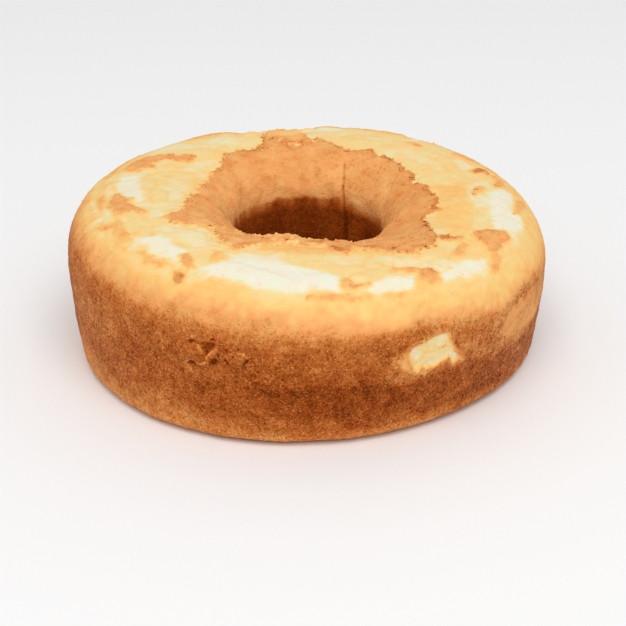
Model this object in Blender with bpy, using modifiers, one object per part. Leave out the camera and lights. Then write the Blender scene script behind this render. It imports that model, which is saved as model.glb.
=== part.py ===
"""A ring of angel food cake, turned out of its pan and standing on its wide flat base.

Units are metres, +Z is up, and the origin is the middle of the base at table level.
The ring is a turned profile: a gently domed top, a round shoulder, a side that bellies out
and draws in again to a soft foot, a flat base, and a hole that opens upwards into a funnel.
A baked ring isn't true, so the turned shape is then pushed out of round by low waves, and
what the pan did to it is pressed in: the top that tore off round the browned collar of the
hole, the sags of the funnel and the crack down it, and the tear and the folds in the side.
"""

import math

import bpy
from mathutils import Vector, geometry

NAME = "angel_food_cake"

# Driving dimensions of the turned profile
CAKE_HEIGHT = 0.0685
CROWN_RISE = 0.0010
BELLY_RADIUS = 0.1054
SHOULDER_RUN = 0.0248
SHOULDER_DROP = 0.0257
FOOT_RADIUS = 0.1018
FOOT_FLARE = 0.0017
FOOT_RUN = 0.0100
FOOT_RISE = 0.0040
FUNNEL_RADIUS = 0.0580
LIP_RADIUS = 0.0335
LIP_DROP = 0.0175
HOLE_RADIUS = 0.0270
HOLE_EDGE = 0.0030

# Smoothness of the turning, and the pull that makes a cubic curve a quarter of an ellipse
TURN_STEPS = 104
QUARTER_PULL = 0.5523

# Low waves round the ring: how many crests, how high, and the first crest's angle in degrees
TOP_TILT = (1, 0.0025, 144)
TOP_SADDLE = (2, 0.0010, 38)
BELLY_SWELLS = [(2, 0.0015, -56), (3, 0.0011, 58)]
FOOT_SWELLS = [(1, 0.0009, 163), (2, 0.0011, 38), (3, 0.0012, 6)]

# The collar of browned skin round the hole: its ragged edge as angle in degrees and radius
COLLAR_EDGE = [
    (5, 0.0555), (22, 0.0530), (40, 0.0550), (60, 0.0590), (72, 0.0550), (88, 0.0640),
    (104, 0.0680), (113, 0.0610), (127, 0.0610), (137, 0.0550), (150, 0.0510), (165, 0.0480),
    (190, 0.0520), (201, 0.0550), (208, 0.0660), (218, 0.0650), (226, 0.0600), (240, 0.0660),
    (251, 0.0680), (262, 0.0610), (290, 0.0640), (304, 0.0740), (319, 0.0720), (327, 0.0580),
    (334, 0.0530), (347, 0.0580),
]

# The top outside the collar, where the skin stayed in the pan
TORN_DEPTH = 0.0007
TORN_OUTER = 0.0900
TORN_OUTER_WAVES = [(4, 0.0022, 20), (7, 0.0018, 41), (11, 0.0010, 9)]
TORN_SLOPE = 0.0040

# Where the funnel's edge sags: angle and half width in degrees, and depth
FUNNEL_SAGS = [(316, 42, 0.0034), (228, 22, 0.0014), (258, 14, -0.0010)]
SAG_RADIUS = 0.0450
SAG_REACH = 0.0180

# Marks in the side: angle in degrees, height, half width, half height and depth
SIDE_MARKS = [
    (297, 0.0395, 0.0120, 0.0080, 0.0016),
    (244, 0.0420, 0.0070, 0.0045, 0.0015),
    (248, 0.0360, 0.0080, 0.0040, 0.0014),
    (252, 0.0450, 0.0060, 0.0040, -0.0007),
]

# The straight crack down the back of the funnel
CRACK_OFFSET = 0.0167
CRACK_HALF_WIDTH = 0.0025
CRACK_DEPTH = 0.0009

CRUST_COLOUR = (0.62, 0.33, 0.13, 1.0)


def curve(start, start_pull, end_pull, end, steps):
    """Points along a cubic curve, from its start up to just short of its end."""
    knots = [Vector((radius, 0.0, height)) for radius, height in (start, start_pull, end_pull, end)]
    return geometry.interpolate_bezier(*knots, steps + 1)[:-1]


def quarter_round(start, corner, end, steps):
    """A quarter of an ellipse from start to end, bulging towards the corner of its box."""
    start_pull = [a + (c - a) * QUARTER_PULL for a, c in zip(start, corner)]
    end_pull = [b + (c - b) * QUARTER_PULL for b, c in zip(end, corner)]
    return curve(start, start_pull, end_pull, end, steps)


def straight(start, end, steps):
    """Even points on a straight line, from its start up to just short of its end."""
    thirds = [[a + (b - a) * share for a, b in zip(start, end)] for share in (1 / 3, 2 / 3)]
    return curve(start, thirds[0], thirds[1], end, steps)


def cake_profile():
    """The closed outline of the ring's section, over the top, down the outside and back up."""
    funnel_top = (FUNNEL_RADIUS, CAKE_HEIGHT)
    shoulder = (BELLY_RADIUS - SHOULDER_RUN, CAKE_HEIGHT)
    belly = (BELLY_RADIUS, CAKE_HEIGHT - SHOULDER_DROP)
    foot = (FOOT_RADIUS, FOOT_RISE)
    base_outer = (FOOT_RADIUS - FOOT_RUN, 0.0)
    base_inner = (HOLE_RADIUS + HOLE_EDGE, 0.0)
    hole_bottom = (HOLE_RADIUS, HOLE_EDGE)
    lip = (LIP_RADIUS, CAKE_HEIGHT - LIP_DROP)

    dome = CAKE_HEIGHT + CROWN_RISE * 4 / 3
    third = (shoulder[0] - funnel_top[0]) / 3
    side_pull = SHOULDER_DROP / 2
    lip_pull = LIP_DROP * 0.57
    funnel_pull = (FUNNEL_RADIUS - LIP_RADIUS) * 0.41

    outline = curve(
        funnel_top, (funnel_top[0] + third, dome), (shoulder[0] - third, dome), shoulder, 6
    )
    outline += quarter_round(shoulder, (belly[0], shoulder[1]), belly, 8)
    above_foot = (foot[0] + FOOT_FLARE, foot[1] + side_pull)
    outline += curve(belly, (belly[0], belly[1] - side_pull), above_foot, foot, 9)
    outline += quarter_round(foot, (foot[0], 0.0), base_outer, 3)
    outline += straight(base_outer, base_inner, 4)
    outline += quarter_round(base_inner, (HOLE_RADIUS, 0.0), hole_bottom, 2)
    outline += straight(hole_bottom, lip, 5)
    outline += curve(
        lip, (lip[0], lip[1] + lip_pull), (funnel_top[0] - funnel_pull, CAKE_HEIGHT), funnel_top, 8
    )
    return outline


def turned_ring(name, outline):
    """An object whose mesh is the closed outline, turned all the way round the Z axis."""
    mesh = bpy.data.meshes.new(name)
    count = len(outline)
    mesh.from_pydata(outline, [(i, (i + 1) % count) for i in range(count)], [])
    ring = bpy.data.objects.new(name, mesh)
    turn = ring.modifiers.new("Turn", "SCREW")
    turn.steps = TURN_STEPS
    turn.render_steps = TURN_STEPS
    turn.use_merge_vertices = True
    turn.merge_threshold = 0.00001
    return ring


def waves(angle, crests):
    """The sum of waves round the ring, each with its count, height and first crest."""
    return sum(
        height * math.cos(count * (angle - math.radians(crest)))
        for count, height, crest in crests
    )


def ease(low, high, value):
    """Goes smoothly from 0 at low to 1 at high."""
    share = min(1.0, max(0.0, (value - low) / (high - low)))
    return share * share * (3.0 - 2.0 * share)


def bump(distance):
    """A smooth hill: 1 at distance 0, and 0 from distance 1 on."""
    return (1.0 - min(1.0, abs(distance)) ** 2) ** 2


def turned_from(angle, degrees):
    """The turn in radians from an angle in degrees to this one, the short way round."""
    return math.remainder(angle - math.radians(degrees), math.tau)


def collar_edge(angle):
    """The radius at which the browned collar ends, eased from one point of its edge to the next."""
    turn = math.degrees(angle) % 360
    before = max([knot for knot in COLLAR_EDGE if knot[0] <= turn], default=None)
    after = min([knot for knot in COLLAR_EDGE if knot[0] > turn], default=None)
    if before is None:
        before = (COLLAR_EDGE[-1][0] - 360, COLLAR_EDGE[-1][1])
    if after is None:
        after = (COLLAR_EDGE[0][0] + 360, COLLAR_EDGE[0][1])
    return before[1] + (after[1] - before[1]) * ease(before[0], after[0], turn)


def out_of_round(radius, angle, height):
    """The turned point, moved by the ring's low waves."""
    rise = min(1.0, max(0.0, height / CAKE_HEIGHT))
    reach = radius / BELLY_RADIUS
    lift = rise**2 * (reach * waves(angle, [TOP_TILT]) + reach**2 * waves(angle, [TOP_SADDLE]))
    outside = ease(FUNNEL_RADIUS * 0.7, BELLY_RADIUS - SHOULDER_RUN, radius)
    swell = rise * waves(angle, BELLY_SWELLS) + (1.0 - rise) * waves(angle, FOOT_SWELLS)
    return radius + outside * swell, height + lift


def torn_top(radius, angle, height):
    """How far the top lies below the skin, between the collar and the shoulder."""
    if height < CAKE_HEIGHT * 0.8:
        return 0.0
    half = TORN_SLOPE / 2
    inner = collar_edge(angle)
    outer = TORN_OUTER + waves(angle, TORN_OUTER_WAVES)
    inside = ease(inner - half, inner + half, radius)
    outside = ease(outer - half, outer + half, radius)
    return TORN_DEPTH * inside * (1.0 - outside)


def funnel_sag(radius, angle, height):
    """How far the edge of the funnel has sunk."""
    if height < CAKE_HEIGHT / 2:
        return 0.0
    depth = sum(
        sag * bump(turned_from(angle, degrees) / math.radians(half_width))
        for degrees, half_width, sag in FUNNEL_SAGS
    )
    return depth * bump((radius - SAG_RADIUS) / SAG_REACH)


def side_marks(radius, angle, height):
    """How far the tear and the folds push the side in."""
    if radius < BELLY_RADIUS - SHOULDER_RUN:
        return 0.0
    depth = 0.0
    for degrees, mark_height, half_width, half_height, mark_depth in SIDE_MARKS:
        across = turned_from(angle, degrees) * radius / half_width
        depth += mark_depth * bump(math.hypot(across, (height - mark_height) / half_height))
    return depth


def funnel_crack(radius, angle, height):
    """How far the crack opens the back of the funnel and the wall below it."""
    if radius > FUNNEL_RADIUS or height < CAKE_HEIGHT * 0.4 or math.sin(angle) < 0.0:
        return 0.0
    across = (radius * math.cos(angle) - CRACK_OFFSET) / CRACK_HALF_WIDTH
    return CRACK_DEPTH * bump(across) * (1.0 - ease(LIP_RADIUS, FUNNEL_RADIUS, radius))


def baked_point(point):
    """Where a point of the true turned ring lies on the real, uneven one."""
    radius = math.hypot(point.x, point.y)
    angle = math.atan2(point.y, point.x)
    new_radius, new_height = out_of_round(radius, angle, point.z)
    if point.z > FOOT_RISE:
        new_height -= torn_top(radius, angle, point.z) + funnel_sag(radius, angle, point.z)
        new_radius -= side_marks(radius, angle, point.z)
        new_radius += funnel_crack(radius, angle, point.z)
    return Vector((new_radius * math.cos(angle), new_radius * math.sin(angle), new_height))


def middle_of(points):
    """The middle of the points' box, seen from above."""
    across = [point.x for point in points]
    along = [point.y for point in points]
    return Vector((min(across) + max(across), min(along) + max(along), 0.0)) / 2


def crust_material():
    """Dull browned cake crust."""
    material = bpy.data.materials.new("browned_crust")
    material.use_nodes = True
    shader = material.node_tree.nodes["Principled BSDF"]
    shader.inputs["Base Color"].default_value = CRUST_COLOUR
    shader.inputs["Roughness"].default_value = 0.85
    shader.inputs["Metallic"].default_value = 0.0
    return material


def bake_ring(ring, collection):
    """Fixes the turned mesh, moves its points to the real ring's and centres it on its base."""
    collection.objects.link(ring)
    bpy.context.view_layer.update()
    seen = ring.evaluated_get(bpy.context.evaluated_depsgraph_get())
    turned = bpy.data.meshes.new_from_object(seen)
    ring.modifiers.clear()
    ring.data = turned
    points = [baked_point(vertex.co) for vertex in turned.vertices]
    centre = middle_of(points)
    for vertex, point in zip(turned.vertices, points):
        vertex.co = point - centre
    turned.materials.append(crust_material())
    turned.shade_smooth()
    turned.set_sharp_from_angle(angle=math.radians(50))


def main():
    for thing in list(bpy.data.objects):
        bpy.data.objects.remove(thing)
    collection = bpy.data.collections.new(NAME)
    bpy.context.scene.collection.children.link(collection)
    bake_ring(turned_ring(NAME, cake_profile()), collection)


main()
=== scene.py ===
"""The looks of a ring of angel food cake, built round its CAD model.

The file is laid out as an add-on: settings that a user would change, one operator for each
piece and one for the stage, which is the floor, the light and the camera, and a panel that
lists them. Run as a script, it calls the operators in order. Units are metres and +Z is up,
but the tables and the fields over the ring are in millimetres and degrees. The cake stands on
its wide flat base round the Z axis. Angles round the ring start at +X and turn towards +Y.
Tones run from 0, white crumb, to 1, scorched crust.
"""

import math
from functools import cache

import bpy
import numpy as np
from bpy.props import FloatProperty, FloatVectorProperty, IntProperty, PointerProperty
from bpy.types import Operator, Panel, PropertyGroup
from mathutils import Matrix, Vector, geometry, noise


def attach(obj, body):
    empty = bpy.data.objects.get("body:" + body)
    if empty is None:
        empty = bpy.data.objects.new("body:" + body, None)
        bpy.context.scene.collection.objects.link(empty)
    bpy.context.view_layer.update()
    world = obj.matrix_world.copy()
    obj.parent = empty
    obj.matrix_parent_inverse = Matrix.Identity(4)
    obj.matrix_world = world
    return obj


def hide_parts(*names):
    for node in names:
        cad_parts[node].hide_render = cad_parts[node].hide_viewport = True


bl_info = {
    "name": "Angel Food Cake",
    "version": (1, 0, 0),
    "blender": (4, 5, 0),
    "location": "3D View > Sidebar > Cake",
    "description": "Builds a baked ring of angel food cake with its torn skin and crumbs",
    "category": "Mesh",
}

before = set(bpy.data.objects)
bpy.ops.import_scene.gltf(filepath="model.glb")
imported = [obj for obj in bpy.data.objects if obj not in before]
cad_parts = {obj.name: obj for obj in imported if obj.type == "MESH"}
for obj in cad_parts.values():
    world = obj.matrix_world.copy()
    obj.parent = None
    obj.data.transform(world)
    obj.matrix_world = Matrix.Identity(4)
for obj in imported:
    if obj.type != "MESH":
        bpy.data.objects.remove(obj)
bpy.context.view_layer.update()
CAKE = "angel_food_cake"
BODY = "root"

MM = 0.001
FULL_TURN = 360.0
TINY = 1e-9

# The turned ring: where the parts of its section meet, in millimetres, as in the CAD model
CAKE_HEIGHT = 68.5
CROWN_RISE = 1.0
BELLY_RADIUS = 105.4
SHOULDER_RUN = 24.8
SHOULDER_DROP = 25.7
FOOT_RADIUS = 101.8
FOOT_FLARE = 1.7
FOOT_RUN = 10.0
FOOT_RISE = 4.0
FUNNEL_RADIUS = 58.0
LIP_RADIUS = 33.5
LIP_DROP = 17.5
HOLE_RADIUS = 27.0
HOLE_EDGE = 3.0

# How far the handles of the section's curves reach, as shares of the boxes round them, and how
# much of the way to its handles the middle of a curve gets
QUARTER_PULL = 0.5523
LIP_PULL = 0.57
FUNNEL_PULL = 0.41
CURVE_SHARE = 0.75

# Points along each part of the section, how many times it is turned, and where the turns are
# closer together: angle, half width, and how much closer, as worked out in small even steps
SECTION_POINTS = {
    "crown": 30, "shoulder": 40, "side": 31, "foot": 8, "base": 4, "hole_edge": 2,
    "throat": 10, "funnel": 35,
}
TURN_STEPS = 620
CLOSER_TURNS = [(272, 60, 0.5)]
EVEN_STEPS = 3600

# Low waves round the ring: crests, height, and the first crest's angle; the last two lists fade
# in from a radius on the top to the shoulder
TOP_TILT = [(1, 2.5, 144)]
TOP_SADDLE = [(2, 1.0, 38)]
BELLY_SWELLS = [(2, 1.5, -56), (3, 1.1, 58)]
FOOT_SWELLS = [(1, 0.9, 163), (2, 1.1, 38), (3, 1.2, 6)]
SWELL_START = FUNNEL_RADIUS * 0.7

# Where the funnel's edge sags: angle, half width and depth, and the radius that it sags round
FUNNEL_SAGS = [(316, 42, 3.4), (228, 22, 1.4), (241, 11, 1.2), (258, 14, -1.0), (294, 12, 0.8)]
SAG_RADIUS = 45.0
SAG_REACH = 18.0

# How the noise moves along each axis with the seed and with its layer
NOISE_STEPS = [(3.7, 11.3), (0.0, 7.1), (1.9, 0.0)]

# Noises with round lumps, added up: strength, lump size and layer
RAGGED_OUT = [(0.7, 9.0, 1), (0.9, 3.6, 2), (0.5, 1.8, 3)]
RAGGED_ROUND = [(0.7, 9.0, 4), (0.9, 3.6, 5), (0.5, 1.8, 6)]
CREAM_CLOUDS = [(0.03, 24.0, 30), (0.04, 7.0, 39)]
GOLD_CLOUDS = [(0.10, 6.5, 69), (0.07, 3.2, 71), (0.04, 1.9, 72)]
PATCH_CLOUDS = [(0.9, 2.6, 53), (1.2, 5.5, 68)]
ISLAND_GLOW_CLOUDS = [(0.9, 3.6, 59)]
ISLAND_CLOUDS = [(0.06, 3.0, 47), (0.05, 6.0, 48)]
COLLAR_CLOUDS = [(0.045, 13.0, 36), (0.05, 5.0, 37)]
THROAT_EDGE_CLOUDS = [(1.6, 7.0, 38), (1.2, 2.6, 61)]
THROAT_CLOUDS = [(0.07, 9.0, 62)]
CRACK_CLOUDS = [(1.4, 13.0, 20), (0.5, 4.0, 21)]
SIDE_EDGE_CLOUDS = [(2.2, 16.0, 33), (0.9, 5.0, 34)]
SIDE_CLOUDS = [(0.03, 4.0, 35)]
SHOULDER_CLOUDS = [(0.05, 6.5, 69), (0.06, 3.2, 71), (0.04, 1.9, 72)]
AREA_EDGE_CLOUDS = [(1.2, 5.0, 57), (0.5, 2.0, 58)]
BASE_CLOUDS = [(0.04, 14.0, 50)]
FOLD_CLOUDS = [(0.25, 1.3, 70)]
NEAR_LUMP_CLOUDS = [(1.0, 3.6, 45), (0.7, 1.9, 46)]
FAR_DENT_CLOUDS = [(0.5, 4.0, 66), (0.3, 2.0, 67)]
LAYER_CLOUDS = [
    [(1.0, 17.0, 60), (0.4, 6.0, 61), (0.2, 2.6, 62)],
    [(1.0, 17.0, 64), (0.4, 6.0, 65), (0.2, 2.6, 66)],
]

# Noises drawn out round the ring, added up: strength, length and width of a streak, and layer
GOLD_STREAKS = [(1.0, 24.0, 4.0, 32), (0.5, 10.0, 2.0, 33)]
BROWN_STREAKS = [(1.0, 15.0, 2.6, 51)]

# Soft spots: the noise at which they begin and are full, their size and their layer
PALE_GOLD_SPOTS = (0.3, 0.6, 6.0, 52)
NEAR_PALE_SPOTS = (0.05, 0.5, 7.0, 54)
COLLAR_SPOTS = (0.42, 0.62, 2.4, 73)
CURLED_SPOTS = (-0.2, 0.5, 6.0, 44)
EDGE_CRUMB_SPOTS = (-0.1, 0.5, 9.0, 74)
NEAR_CRUMB_SPOTS = (-0.2, 0.4, 5.0, 63)
CRUMB_SPOTS = (0.3, 0.6, 8.0, 49)

# Lumps of the relief: size and layer
LARGE_LUMPS = (13.0, 40)
SMALL_LUMPS = (5.0, 41)
FINE_LUMPS = (2.2, 42)
FINEST_LUMPS = (1.4, 43)

# A distance beyond the reach of every mark, and how deep plain skin counts as lying inside skin
FAR = 9.0
DEEP_IN_SKIN = 5.0

# The edge of the browned collar round the hole, as angle and radius, and how sharp it is at each
# angle
COLLAR_EDGE = [
    (0, 54.5), (8, 55.0), (13, 52.5), (18, 49.5), (21, 50.5), (26, 54.0), (30, 54.5), (33, 52.0),
    (40, 54.8), (49, 56.0), (55, 55.2), (58, 59.0), (61, 60.0), (66, 56.0), (70, 54.5), (75, 58.0),
    (81, 61.5), (85, 64.0), (89, 64.0), (92, 72.0), (95, 84.0), (99, 88.0), (103, 85.0),
    (107, 72.0), (110, 61.0), (113, 59.0), (118, 57.5), (121, 60.0), (130, 58.5), (138, 53.5),
    (141, 51.0), (150, 49.5), (165, 48.0), (180, 49.0), (190, 52.5), (200, 56.0), (205, 59.0),
    (207, 65.0), (209, 70.5), (214, 69.5), (219, 67.0), (223, 62.5), (228, 60.5), (233, 64.5),
    (240, 69.5), (245, 71.5), (248, 68.0), (251, 61.0), (256, 54.0), (277, 55.0), (279, 61.0),
    (283, 65.5), (288, 61.0), (293, 64.5), (300, 69.5), (303, 75.5), (307, 73.0), (312, 74.0),
    (318, 69.5), (321, 63.5), (328, 59.0), (333, 54.5), (337, 55.0), (342, 59.8), (347, 57.0),
    (351, 58.2), (355, 58.0), (358, 55.5),
]
COLLAR_SHARPNESS = [
    (0, 1.0), (88, 0.8), (97, 0.4), (110, 0.6), (122, 0.4), (135, 0.45), (150, 0.3), (204, 0.3),
    (209, 0.25), (245, 0.2), (255, 0.12), (276, 0.15), (284, 0.4), (292, 0.25), (302, 0.35),
    (316, 0.8), (330, 1.0),
]

# Islands of skin left on the torn top: corners at angle and radius, how brown they are, and how
# sharp their edges are
SKIN_ISLANDS = [
    ([(184, 82.8), (187, 81), (190, 79.5), (189, 76.6), (193.5, 78.5), (198, 76.5), (202, 74),
      (204.6, 74.8), (200.4, 78), (199, 80.5), (200.6, 82.5), (199.5, 85.5), (196, 86.8),
      (190, 86.4)], 0.49, 0.4),
    ([(234.5, 84.6), (236.5, 85), (238.2, 88), (239.6, 91), (238.5, 92.5), (235.5, 89),
      (233, 87)], 0.45, 0.6),
    ([(235.2, 95), (237.8, 94), (239.4, 95.4), (238.6, 97), (236.2, 97.4)], 0.56, 1.0),
    ([(240.5, 77.5), (242.5, 77), (244.3, 79), (246, 81), (244, 83), (242.8, 84.5),
      (241, 80.5)], 0.37, 0.6),
    ([(201, 85.5), (206, 86.8), (212, 88.8), (215, 90.2), (214, 92), (209, 92.2),
      (204, 89)], 0.41, 0.4),
    ([(222, 93), (231, 91.6), (234.5, 93), (231, 94.4), (226, 95.4)], 0.42, 0.4),
    ([(183, 88.5), (188, 88), (192, 90), (190, 92.4), (184, 91.4)], 0.45, 0.5),
    ([(278, 88.8), (278.4, 86), (279.4, 84.5), (280.4, 85), (281, 87.8), (285.4, 88.5),
      (285.2, 89.8), (280.5, 90.4)], 0.47, 0.9),
    ([(270, 94.8), (274, 93.4), (279, 93.3), (284, 94.4), (279, 96.4), (274, 96.2)], 0.45, 0.5),
    ([(298.8, 90), (299, 84.8), (301, 84.8), (303.4, 86), (303.6, 89), (302.6, 92.6),
      (300, 93)], 0.51, 0.9),
    ([(292, 82.2), (294, 80.6), (297.5, 82), (300, 84.4), (298, 85.4), (294.5, 84)], 0.44, 0.7),
    ([(324, 94), (323.6, 89.5), (325.4, 86), (326.5, 81.5), (328.5, 79.6), (331, 80),
      (333, 83.5), (335.8, 86.8), (337, 89.6), (335.8, 92), (332.6, 92.4), (329, 91.4),
      (326, 92.4)], 0.51, 0.8),
    ([(318, 97), (321.5, 93.4), (324, 92), (324.4, 95), (321.5, 97.6)], 0.45, 0.5),
    ([(317.2, 72.4), (317.4, 69.8), (319.6, 70), (320.4, 72.6), (321.6, 74.8), (323.6, 75.4),
      (324.6, 77), (322.5, 77), (321, 75.4), (319.6, 73.6)], 0.57, 1.0),
    ([(313.4, 83.8), (314.8, 81.8), (318, 79.8), (321.4, 79.4), (320.6, 81.8), (317.4, 84),
      (315, 85)], 0.43, 0.6),
    ([(18.4, 82), (19.8, 81), (21.2, 83.6), (22, 86.2), (21.2, 88.4), (18.4, 89),
      (17.8, 87), (19.2, 85.4)], 0.62, 0.9),
    ([(6, 86), (8, 86.3), (12, 88), (17, 88.6), (17.4, 91.5), (12, 92.2), (7.4, 89.4)], 0.47, 0.6),
    ([(350, 90.8), (355, 91), (360, 94), (364, 97.6), (359, 97), (354, 94.4)], 0.46, 0.5),
    ([(357, 74), (360, 74.2), (362, 75), (366, 77.6), (366.4, 80), (363, 79), (359, 77)],
     0.43, 0.6),
    ([(142, 65.8), (146, 63), (149, 62.5), (151, 66), (150.6, 70), (152, 73), (157, 76),
      (159.5, 73.5), (161.5, 72), (161.5, 75.6), (164.5, 78.5), (165, 82.5), (163, 85.5),
      (157, 86), (152, 83.5), (149, 79), (147, 75), (147, 70), (144, 70)], 0.49, 0.5),
    ([(28, 88), (31, 85), (35, 84.6), (37, 88), (34, 91), (30, 91)], 0.44, 0.4),
    ([(57, 88), (65, 86.5), (70, 88), (78, 90), (68, 92), (59, 91)], 0.46, 0.35),
    ([(112, 87), (118, 85), (126, 86), (131, 89), (124, 92), (115, 91.5)], 0.46, 0.35),
    ([(76, 92), (84, 90), (92, 92), (86, 95)], 0.44, 0.4),
    ([(46, 78), (49, 76.5), (53, 77.5), (51, 80), (47.5, 80.2)], 0.46, 0.7),
]

# How much the crumb round an island is browned towards it, how much paler than the island it
# stays, and from how far outside the island to how far inside it the change runs
ISLAND_GLOW = 0.75
GLOW_PALER = 0.06
GLOW_EDGE = (-2.6, 0.8)

# How brown the collar is, and how that changes over parts of it: angle, half width, the radii at
# which the change begins and is full, and the change
COLLAR_TONE = 0.53
COLLAR_SHADES = [
    (264, 24, 76, 66, -0.08), (98, 16, 66, 74, -0.18), (182, 45, 0, 1, -0.04),
    (230, 28, 46, 58, -0.11), (96, 26, 44, 56, -0.05), (318, 30, 0, 1, 0.015),
    (20, 45, 0, 1, 0.03),
]

# Dark spots on the collar: how dark, the angle they gather round, and the turns from it at which
# they begin and are full
SPOT_TONE = 0.10
SPOT_ANGLE = 25.0
SPOT_TURNS = (90.0, 40.0)

# Painted light: where the funnel's walls are painted paler against the shade that falls in the
# funnel, as angle, half width and how much, and the heights at which that begins and is full
PAINTED_LIGHT_WALLS = [(38, 36, 0.11), (136, 32, 0.07)]
PAINTED_LIGHT_HEIGHTS = (60.0, 54.0)

# How dark the hole is at each height: partly its dark-baked crust and partly painted shade deep in
# the hole, where little light reaches. The pattern is lower to both sides of the back, from one
# turn away to another, and at some angles: angle, half width and how much lower
THROAT_BURN_AND_SHADE = [
    (36.0, 0.97), (45.0, 0.96), (48.0, 0.94), (50.3, 0.88), (52.4, 0.60), (54.0, 0.40), (57.0, 0.0),
]
BACK_ANGLE = 90.0
BACK_TURNS = (20.0, 50.0)
THROAT_DROP = 1.6
THROAT_DROPS = [(90, 14, -0.8), (37, 17, 2.2)]

# Bare places inside the collar, as corners
BARE_SPOTS = [
    [(92, 57), (95, 56), (98.5, 57.6), (96, 59.4), (93, 59)],
    [(84.5, 61), (88, 60.2), (90.4, 62), (87.6, 63.6)],
    [(100, 62.4), (103, 62), (104.4, 64), (101.4, 65.4)],
    [(111, 54.2), (113.4, 54), (114, 55.8), (111.8, 56.2)],
]

# The tones of the torn top: plain crumb, and the golden crust of the rim
CREAM_TONE = 0.18
GOLD_TONE = 0.305

# Where the torn top is paler and more streaked, and where its golden rim has pale spots: angle,
# half width and share
STREAKED = [(200, 60, 1.0)]
SPOTTED = [(255, 75, 1.0)]

# How soft the edge of the golden crust of the rim is, and where it is, as angle and radius
GOLD_BLEND = (-1.6, 2.0)
GOLD_EDGE = [
    (0, 93.0), (10, 92.0), (20, 90.5), (35, 89.0), (60, 90.0), (88, 88.0), (120, 90.0),
    (140, 91.0), (150, 87.0), (163, 86.0), (170, 84.5), (182, 85.5), (190, 87.0), (200, 85.0),
    (206, 87.0), (212, 90.0), (220, 92.0), (235, 92.0), (245, 94.0), (262, 96.0), (270, 95.0),
    (280, 93.0), (297, 94.5), (310, 97.0), (318, 97.5), (324, 94.0), (345, 95.0), (352, 92.0),
]

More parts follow.
